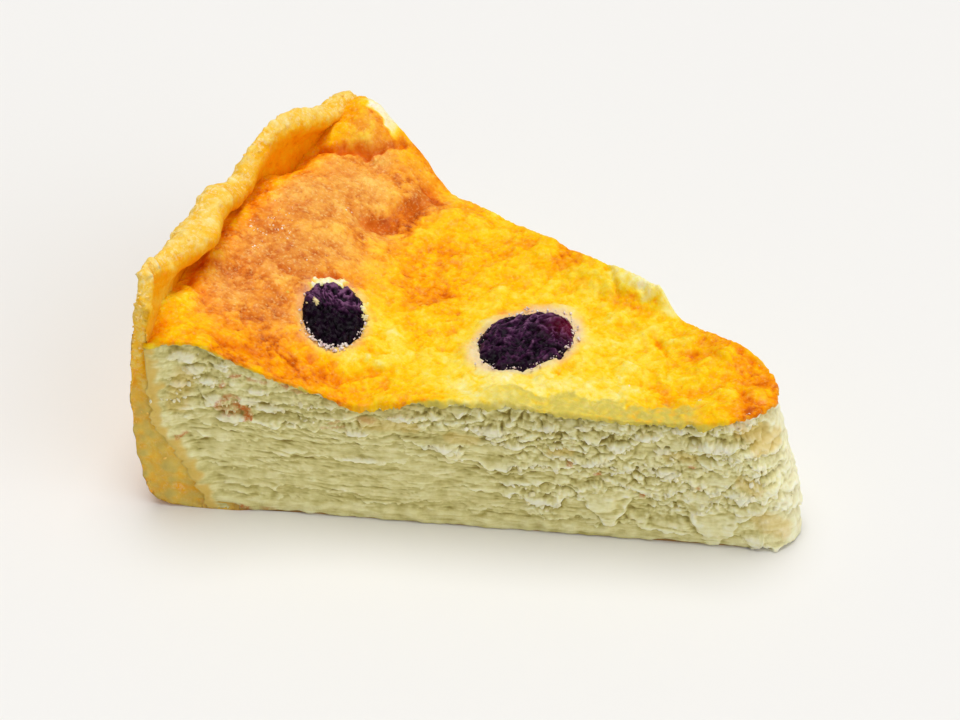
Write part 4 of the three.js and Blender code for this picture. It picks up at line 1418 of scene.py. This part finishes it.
def pastry_outline(bearing):
    """Closed upright outlines of the shell, one column per bearing: radius, z and where on it."""
    shoulder = crest_height(bearing) - CREST_ROUNDING
    outline = []

    def add(radius, z, kind):
        outline.append((radius + 0 * bearing, z + 0 * bearing, kind))

    foot_centre = outer_radius(FOOT_HEIGHT) - FOOT_WIDTH
    for turn in np.linspace(0, math.pi / 2, 20):
        add(foot_centre + FOOT_WIDTH * math.sin(turn), FOOT_HEIGHT * (1 - math.cos(turn)), FOOT)
    for share in np.linspace(0, 1, 76)[1:]:
        z = mix(FOOT_HEIGHT, shoulder, share)
        add(outer_radius(z), z, OUTER)
    outer_top = outer_radius(shoulder)
    inner_top = inner_radius(shoulder, bearing)
    for turn in np.linspace(0, math.pi, 36)[1:-1]:
        radius = mix(inner_top, outer_top, (1 + math.cos(turn)) / 2)
        add(radius, shoulder + CREST_ROUNDING * math.sin(turn) ** 0.8, CREST)
    for share in np.linspace(0, 1, 80):
        z = mix(shoulder, BASE_THICKNESS, share)
        add(inner_radius(z, bearing), z, INNER)
    heel = inner_radius(BASE_THICKNESS, bearing)
    tip = tip_radius(bearing, 0.0) + BASE_TIP_INSET
    for share in np.linspace(0, 1, 12)[1:]:
        add(mix(heel, tip + 0.3, share), BASE_THICKNESS, BASE_TOP)
    for inset, z in ((0.1, BASE_THICKNESS - 0.25), (0, BASE_THICKNESS / 2), (0.1, 0.2)):
        add(tip + inset, z, BASE_TOP)
    for share in np.linspace(0, 1, 12)[:-1]:
        add(mix(tip + 0.5, foot_centre, share), 0.0, UNDERSIDE)
    return (np.array(values) for values in zip(*outline))


def shell_points(radius, bearing, z):
    """Points of the shell, with the base drawn back from the cuts."""
    low = 1 - smoothstep(z, BASE_THICKNESS + 0.2, BASE_THICKNESS + 2.2)
    based = low * (1 - smoothstep(radius, 103, 109))
    drawn = bearing * (1 - BASE_INSET * based / (radius * HALF_CUT))
    return np.column_stack([CENTRE_X - radius * np.cos(drawn), radius * np.sin(drawn), z])


class Shell:
    """The plain pastry shell: points and triangles, and for each point the part of the outline it
    is on, its radius, bearing and height, and how crumbly it is."""

    def __init__(self):
        bearing = np.linspace(-HALF_CUT, HALF_CUT, PASTRY_COLS)
        radius, z, kind = pastry_outline(bearing)
        rows = len(radius)
        count = radius.size
        # each column is one closed outline
        parts = [(np.tile(kind, PASTRY_COLS), radius.T.ravel(), np.repeat(bearing, rows), z.T.ravel())]
        caps = []
        random = np.random.default_rng(31)
        for column, side in ((0, -1), (PASTRY_COLS - 1, 1)):
            ring = np.column_stack([radius[:, column], z[:, column]])
            loose = loose_places(*CUT_CORNERS, CUT_SPACING)
            loose = loose + random.uniform(-0.1, 0.1, loose.shape)
            loose = loose[inside_outline(loose, ring, 0.2)]
            caps.append((side, filled_outline(ring, loose, column * rows, count)))
            size = len(loose)
            parts.append((np.full(size, CUT), loose[:, 0], np.full(size, side * HALF_CUT), loose[:, 1]))
            count += size
        self.kind, self.radius, self.bearing, self.z = (np.concatenate(values) for values in zip(*parts))
        self.points = shell_points(self.radius, self.bearing, self.z)
        sheet = outward(self.points, sheet_triangles(PASTRY_COLS, rows))
        caps = [facing(self.points, cap, (SIN_HALF, side * COS_HALF, 0)) for side, cap in caps]
        self.triangles = np.concatenate([sheet, *caps])
        self.normal = vertex_normals(self.points, self.triangles)
        self.find_crumbly()

    def find_crumbly(self):
        kind, z = self.kind, self.z
        self.under_crest = crest_height(self.bearing) - z
        self.on_cut = kind == CUT
        self.on_top = (1 - smoothstep(self.under_crest, 1.0, 4.0)) * ~self.on_cut
        self.outer = (kind == FOOT) | (kind == OUTER)
        self.inner = (kind == INNER) & (z > INNER_RIM)
        crumbly = np.clip(0.85 * self.on_top + 0.8 * self.on_cut + 0.55 * self.outer, 0, 1)
        self.crumbly = np.where(self.inner, crumbly * 0.8, crumbly)
        self.coarse = 0.5 - bumps(self.points / 2.3, 200)
        self.fine = 0.5 - bumps(self.points / 1.1, 210)
        wall = outer_radius(z)
        inward = (wall - self.radius) / (wall - inner_radius(z, self.bearing))
        self.inward = np.clip(inward, 0, 1)


def pastry_shift(shell):
    """How far each point of the shell is pushed out along its normal."""
    place, z, under_crest = shell.points, shell.z, shell.under_crest
    shift = 0.7 * layered(place / 8.0, 2, 220) + 0.22 * layered(place / 2.2, 3, 223)
    shift = shift - shell.crumbly * (0.65 * shell.coarse + 0.3 * shell.fine)
    rolled = bell(under_crest - 2.6, 2.4) * (z > 20) * ~shell.on_cut
    shift = shift + mix(0.5, 1.5, shell.inward) * rolled
    rounded_end = 0.75 * bell(under_crest - 2.0, 5.5)
    shift = np.where(shell.on_cut, shift * 0.9 - 0.25 + rounded_end, shift)
    on_base = (shell.kind == BASE_TOP) | (shell.kind == UNDERSIDE)
    shift = shift * (z >= 0.4) * np.where(on_base, 0.2, 1.0)
    return np.where((shell.kind == INNER) & (z < INNER_RIM), 0, shift)


def pastry_colours(shell):
    """The colours, and how crumbly each point is where loose crumbs may lie."""
    place, z, under_crest = shell.points, shell.z, shell.under_crest
    spread = layered(place / 5.0, 3, 230)
    # Painted light and shade over the real toasting: paler on the crest, and darker between the crumbs than
    # on them.
    toast_and_painted_light = 0.40 + 0.10 * spread - 0.14 * shell.on_top
    toast_and_painted_light = toast_and_painted_light + (0.30 * shell.coarse + 0.14 * shell.fine) * shell.crumbly
    # Painted shade: deeper orange down the inner side of the rim into the hollow over the top, less at the
    # near end, where the roll shades it already.
    shade = smoothstep(under_crest + 1.2 * noise(place / 3.0, 232), 1.4, 6.0)
    painted_cavity_shade = np.where(shell.inner, shade, 0)
    near_end = smoothstep(-9.5 - np.degrees(shell.bearing), 0, 3)
    toast_and_painted_light = mix(toast_and_painted_light, 0.76 - 0.22 * near_end + 0.08 * spread, painted_cavity_shade)
    cut_toast_and_shade = 0.36 - 0.05 * smoothstep(z, 28, 36) + 0.10 * spread
    # Painted shade: darker between the crumbs of the cut.
    cut_toast_and_shade = cut_toast_and_shade + 0.30 * shell.coarse + 0.22 * shell.fine
    toast_and_painted_light = np.where(shell.on_cut, cut_toast_and_shade, toast_and_painted_light)
    toast_and_painted_light = toast_and_painted_light + 0.22 * shell.outer * smoothstep(16 - z, 0, 12)
    # Painted shade: darker orange down the inner side of the roll and under it.
    roll_side_shade = (shell.kind == INNER) * smoothstep(under_crest, 0.5, 3.5)
    roll_underside_shade = smoothstep(shell.inward, 0.5, 1.0) * smoothstep(under_crest, 0.4, 2.2)
    roll_underside_shade = roll_underside_shade * (z > INNER_RIM) * ~shell.on_cut
    toast_and_painted_light = toast_and_painted_light + (0.14 * roll_side_shade + 0.20 * roll_underside_shade) * (1 - painted_cavity_shade)
    based = (z < 1.7) * (1 - smoothstep(shell.radius, 106, 113))
    crumbly = shell.crumbly * (1 - 0.75 * roll_underside_shade)
    pale_crumb = crumbly * (1 - 0.8 * based) * (1 - 0.5 * shell.on_cut) * (0.75 + 0.5 * spread)
    at_cut = (np.abs(shell.bearing) > HALF_CUT - 1e-6) * smoothstep(30 - z, 0, 8)
    at_cut = at_cut * (1 - based) * (0.75 + 0.4 * noise(place / 1.6, 234) - 0.5 * shell.coarse)
    colours = {
        "toast_and_painted_light": np.clip(toast_and_painted_light, 0, 1),
        "crumb": np.clip(pale_crumb, 0, 1) * 0.9,
        "dull": np.clip(based * (0.8 + 0.3 * spread), 0, 1),
        "cut": np.clip(at_cut, 0, 1),
    }
    return colours, crumbly * (shell.radius > 112)


def pastry_piece():
    """The pastry, its points, their normals and how crumbly each is."""
    shell = Shell()
    points = shell.points + shell.normal * pastry_shift(shell)[:, None]
    points[:, 2] = np.maximum(points[:, 2], 0.0)
    colours, crumbly = pastry_colours(shell)
    piece = mesh_object("pastry", points, shell.triangles, pastry_look(), colours)
    return piece, points, shell.normal, crumbly


# ---- Berries ----

BERRY_SQUARENESS = {"berry_1": 2.4, "berry_2": 1.85}  # 2 would be an ellipse

# Dents in the outline of the first berry: degrees from its long axis, width in radians, depth
BERRY_DENTS = ((-128, 0.45, 0.10), (122, 0.5, 0.12))


def slope_of_top(x, y, reach=6.0):
    """Rise of the baked top for each mm to +X and to +Y, taken over about a berry's size."""
    to_x = skin_height(x + reach, y) - skin_height(x - reach, y)
    to_y = skin_height(x, y + reach) - skin_height(x, y - reach)
    return to_x / (2 * reach), to_y / (2 * reach)


def berry_outline(name, ring, around, flatness, seed):
    """Radius of a berry seen from above, 1 on average, in each direction of the unit ring."""
    power = BERRY_SQUARENESS[name]
    outline = (np.abs(ring[:, 0]) ** power + np.abs(ring[:, 1]) ** power) ** (-1 / power)
    if name == CUSTARD_BERRY:
        for at, width, depth in BERRY_DENTS:
            outline = outline - depth * bell(around - math.radians(at), width)
    uneven = 0.07 * noise(ring * 1.8 + 7, seed) + 0.04 * noise(ring * 4 + 3, seed + 1)
    return outline + uneven * flatness


def berry_wrinkles(local, seed):
    """Three sizes of folds over a berry."""
    curl = np.stack([noise(local / 4.5, seed + k) for k in (2, 3, 4)], 1)
    warped = local + 1.1 * curl
    sizes = ((3.2, 2.5, 3.0), (1.5, 1.15, 1.2), (0.7, 0.55, 0.6))
    return [1 - 2.4 * np.abs(noise(warped / size, seed + 5 + k)) for k, size in enumerate(sizes)]


def berry_shape(berry, seed):
    """Points and triangles of a wrinkled berry in its place, and the painted light of its folds: lighter on
    their ridges.
    """
    name, at_x, at_y, length, width, crown, foot, turn, proud = berry
    points, triangles = lone_ball(7)
    around = np.arctan2(points[:, 1], points[:, 0])
    flatness = np.hypot(points[:, 0], points[:, 1])
    ring = flat_points(np.cos(around), np.sin(around))
    outline = berry_outline(name, ring, around, flatness, seed)
    upper = points[:, 2] > 0
    size = np.stack([outline * length / 2, outline * width / 2, np.where(upper, crown, foot)], 1)
    local = points * size
    flatness = np.minimum(flatness, 1)
    local[:, 2] = np.where(upper, crown * (1 - flatness**6) ** 0.4, local[:, 2])
    folds, small_folds, fibres = berry_wrinkles(local, seed)
    relief = 0.34 * folds + 0.22 * small_folds + 0.12 * fibres
    sink = 0.35 * bell(flatness, 0.55)
    edge = smoothstep(flatness, 0.75, 1.0)
    wrinkled = (relief - 0.25) * (1 - 0.6 * edge) - sink
    local[:, 2] += wrinkled * smoothstep(points[:, 2], -0.35, 0.1)
    local[:, :2] *= (1 + 0.03 * relief * edge)[:, None]
    x, y = turned(local[:, 0], local[:, 1], turn)
    slope_x, slope_y = slope_of_top(at_x, at_y)
    level = skin_height(at_x, at_y) + proud - crown + x * slope_x + y * slope_y
    # painted highlights on the ridges of the folds
    painted_fold_light = np.clip(0.34 + 0.22 * folds + 0.26 * small_folds + 0.22 * fibres, 0, 1)
    return np.column_stack([x + at_x, y + at_y, local[:, 2] + level]), triangles, painted_fold_light


def berry_pieces():
    made = []
    look = berry_look()
    for index, berry in enumerate(BERRIES):
        points, triangles, painted_fold_light = berry_shape(berry, 300 + 20 * index)
        x, y = points[:, 0], points[:, 1]
        crimson = np.zeros_like(x)
        if index == 0:
            # painted light: the half away from the near cut is lit, the near half painted in shade
            painted_fold_light = painted_fold_light * mix(0.3, 1.25, smoothstep(y - 0.35 * (x + 24.2), -15.0, -9.5))
        else:
            crimson = 0.75 * bell(distance_to((11.2, 3.0), x, y), 3.0)
            # painted light: lighter away from the near cut
            painted_fold_light = painted_fold_light * mix(0.8, 1.1, smoothstep(y, -10, 2))
        colours = {"painted_fold_light": np.clip(painted_fold_light, 0, 1), "crimson": np.clip(crimson, 0, 1)}
        piece = mesh_object("wrinkled_" + berry[0], points, triangles, look, colours)
        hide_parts(berry[0])
        made.append(piece)
    return made


# ---- Crumbs and grains ----

def random_turn(random):
    """A random turn in space, as a matrix."""
    q = random.normal(size=4)
    w, x, y, z = q / np.linalg.norm(q)
    return np.array(
        [
            [1 - 2 * (y * y + z * z), 2 * (x * y - z * w), 2 * (x * z + y * w)],
            [2 * (x * y + z * w), 1 - 2 * (x * x + z * z), 2 * (y * z - x * w)],
            [2 * (x * z - y * w), 2 * (y * z + x * w), 1 - 2 * (x * x + y * y)],
        ]
    )


def lump_shapes(detail, rough, seed, count=6):
    """Small uneven lumps of radius about 1, to choose from."""
    ball, faces = lone_ball(detail)
    shapes = []
    for k in range(count):
        swell = 1 + rough * noise(ball * 1.7 + 10 * k, seed + k)
        swell = swell + 0.5 * rough * noise(ball * 3.6 + 10 * k, seed + k + 50)
        shapes.append((ball * swell[:, None] * (1.0 + 0.25 * (k % 3), 1.0, 0.8), faces))
    return shapes


def scatter(name, random, shapes, centres, sizes, material, squash=0.75):
    """One mesh of small lumps with given centres and radii."""
    points = []
    triangles = []
    first = 0
    for centre, size in zip(centres, sizes):
        shape, faces = shapes[random.integers(len(shapes))]
        turn = random_turn(random)
        points.append((shape * (1, 1, squash)) @ turn.T * size + centre)
        triangles.append(faces + first)
        first += len(shape)
    return mesh_object(name, np.vstack(points), np.concatenate(triangles), material)


PASTRY_CRUMBS = 150
CHEESE_CRUMBS = 520
GRAINS_PER_BERRY = 130
NEAR_RIM_END = (-47.6, -38.4, 38.5)  # more pastry crumbs lie here, where the rim was cut

# x, y, height above the baked top, radius of each loose bit of custard by the first berry
CUSTARD_PIECES = (
    (-27.8, -13.5, 0.75, 0.32), (-27.4, -13.9, 0.75, 0.28), (-27.5, -13.3, 0.8, 0.2),
    (-28.9, -14.6, 0.6, 0.14), (-20.3, -10.6, 0.2, 0.35), (-20, -11, 0.2, 0.3),
)

# x, y, spread, number of pale grains set where the top glints: painted highlights
SPARKLES = (
    (-44.2, -3.1, 0.8, 9), (-43, -0.5, 0.9, 9), (-42, 0.9, 0.9, 10), (-40.4, -1, 0.8, 6),
    (-42.1, -7.2, 0.5, 6), (-34.8, 11.5, 0.7, 4), (-43.5, 3.5, 1.6, 8), (25.9, -6, 0.3, 3),
    (38.2, -5.2, 0.3, 3), (-36, -4, 4.5, 12),
)

# directions round each berry where pale grains gather, in radians from its long axis
GRAIN_BEARINGS = ((2.6, 3.0, 3.1, 3.3, 4.4), (-0.6, 0.4, 1.2, 2.4, 3.6, 4.4, 5.2))


def pastry_crumbs(random, shapes, points, normal, crumbly):
    weight = crumbly * (points[:, 2] > 8)
    weight = weight * (1 + 40 * bell(np.linalg.norm(points - NEAR_RIM_END, axis=1), 3.5))
    chosen = random.choice(len(weight), PASTRY_CRUMBS, p=weight / weight.sum())
    sizes = 0.15 + 0.35 * random.random(PASTRY_CRUMBS) ** 2.2
    centres = points[chosen] - normal[chosen] * (sizes * 0.4)[:, None]
    look = crumb_look("pastry_crumbs", ((252, 196, 70), (254, 214, 112), (254, 230, 160)), 3.0)
    return scatter("pastry_crumbs", random, shapes, centres, sizes, look)


def cheese_crumbs(random, shapes, points, out, torn):
    chosen = torn[random.choice(len(torn), CHEESE_CRUMBS)]
    sizes = 0.12 + 0.32 * random.random(CHEESE_CRUMBS) ** 2.0
    centres = points[chosen] + out[chosen] * (sizes * 0.25)[:, None]
    centres[:, 2] = np.maximum(centres[:, 2], sizes)
    look = crumb_look("cheese_crumbs", ((232, 222, 168), (244, 238, 200), (250, 246, 220)), 3.0)
    return scatter("cheese_crumbs", random, shapes, centres, sizes, look, 0.6)


def custard_pieces(random):
    """Pieces of pale custard lying against the first berry."""
    x, y, lift, sizes = np.array(CUSTARD_PIECES).T
    centres = np.column_stack([x, y, skin_height(x, y) + lift])
    look = crumb_look("custard", ((216, 188, 122), (238, 222, 164), (250, 242, 204)), 1.1)
    return scatter("custard_pieces", random, lump_shapes(4, 0.8, 460), centres, sizes, look)


def pale_grains(random):
    """Pale grains that have gathered round the berries."""
    spots = []
    sizes = []
    for berry, bearings in zip(BERRIES, GRAIN_BEARINGS):
        _, at_x, at_y, length, width, _, _, turn, _ = berry
        for _ in range(GRAINS_PER_BERRY):
            around = random.choice(bearings) + random.normal(0, 0.45)
            reach = 0.95 + random.normal(0, 0.06)
            long, wide = length / 2 * reach * math.cos(around), width / 2 * reach * math.sin(around)
            spots.append(np.add((at_x, at_y), turned(long, wide, turn)))
            sizes.append(0.06 + 0.20 * random.random() ** 2.6)
    x, y = np.array(spots).T
    centres = np.column_stack([x, y, skin_height(x, y) + 0.35])
    look = crumb_look("pale_grains", ((222, 190, 196), (244, 224, 216), (255, 250, 240)), 0.6)
    return scatter("pale_grains", random, lump_shapes(2, 0.9, 480), centres, sizes, look)


def painted_glint_grains(random, shapes):
    """Pale grains set where the top glints: painted highlights."""
    spots = [random.normal((x, y), spread, (count, 2)) for x, y, spread, count in SPARKLES]
    x, y = np.vstack(spots).T
    relief, _ = skin_relief(x, y)
    sizes = 0.07 + 0.13 * random.random(len(x)) ** 1.5
    centres = np.column_stack([x, y, skin_height(x, y) + relief])
    look = crumb_look("painted_glints", ((248, 214, 170), (254, 236, 208), (255, 250, 238)), 0.6)
    return scatter("painted_glint_grains", random, shapes, centres, sizes, look)


# ---- Put together ----

cheese, cheese_points, cheese_out, torn_edges = cheese_piece()
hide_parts("filling")
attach(cheese, "root")

skin = skin_piece()
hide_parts("filling")
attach(skin, "root")

pastry, pastry_points, pastry_normal, pastry_crumbly = pastry_piece()
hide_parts("pastry_shell")
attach(pastry, "root")

for piece in berry_pieces():
    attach(piece, "root")

random = np.random.default_rng(41)
small_lumps = lump_shapes(2, 0.35, 400)
loose_pieces = (
    (pastry_crumbs(random, small_lumps, pastry_points, pastry_normal, pastry_crumbly), "pastry"),
    (cheese_crumbs(random, small_lumps, cheese_points, cheese_out, torn_edges), "filling"),
    (custard_pieces(random), "filling"),
    (pale_grains(random), "filling"),
    (painted_glint_grains(random, small_lumps), "filling"),
)
for piece, slot in loose_pieces:
    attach(piece, "root")


# ---- Floor, light and camera ----

def plain_look(name, colour, roughness):
    look = Look(name)
    return look.finish((*linear(*colour), 1), roughness)


FLOOR_SIZE = 6000.0
corners = np.array([(-1, -1), (1, -1), (1, 1), (-1, 1)]) * FLOOR_SIZE / 2
floor = mesh_object(
    "floor",
    np.column_stack([corners, np.zeros(4)]),
    np.array([(0, 1, 2), (0, 2, 3)]),
    plain_look("floor", (236, 235, 233), 0.7),
)

scene = bpy.context.scene
scene.view_settings.view_transform = "Standard"
scene.view_settings.look = "None"
scene.view_settings.exposure = 0.0
scene.view_settings.gamma = 1.0

world = bpy.data.worlds.new("studio")
world.use_nodes = True
background = world.node_tree.nodes["Background"]
background.inputs["Color"].default_value = (1.0, 0.98, 0.95, 1)
background.inputs["Strength"].default_value = 0.36
scene.world = world


def soft_light(name, direction, strength, spread_degrees, colour=(1, 1, 1)):
    data = bpy.data.lights.new(name, "SUN")
    data.energy = strength
    data.angle = math.radians(spread_degrees)
    data.color = colour
    lamp = bpy.data.objects.new(name, data)
    lamp.rotation_mode = "QUATERNION"
    lamp.rotation_quaternion = Vector(direction).to_track_quat("Z", "Y")
    scene.collection.objects.link(lamp)
    return lamp


soft_light("overhead", (-0.10, 0.12, 1.0), 1.95, 40)
soft_light("right", (1.0, -0.15, 0.55), 0.85, 60)

VIEW_AZIMUTH = math.radians(25.11)
VIEW_ELEVATION = math.radians(39.06)
VIEW_DISTANCE = 0.493  # metres, as the target
VIEW_TARGET = Vector((0, 0, 0.015))
level_part = math.cos(VIEW_ELEVATION)
back = Vector(
    (math.sin(VIEW_AZIMUTH) * level_part, -math.cos(VIEW_AZIMUTH) * level_part, math.sin(VIEW_ELEVATION))
)
lens = bpy.data.cameras.new("camera")
lens.sensor_width = 36
lens.lens = 108.5
lens.shift_x = -0.0220
lens.shift_y = 0.0190
lens.clip_start = 0.01
lens.clip_end = 20
camera = bpy.data.objects.new("camera", lens)
camera.location = VIEW_TARGET + back * VIEW_DISTANCE
camera.rotation_mode = "QUATERNION"
camera.rotation_quaternion = back.to_track_quat("Z", "Y")
scene.collection.objects.link(camera)
scene.camera = camera
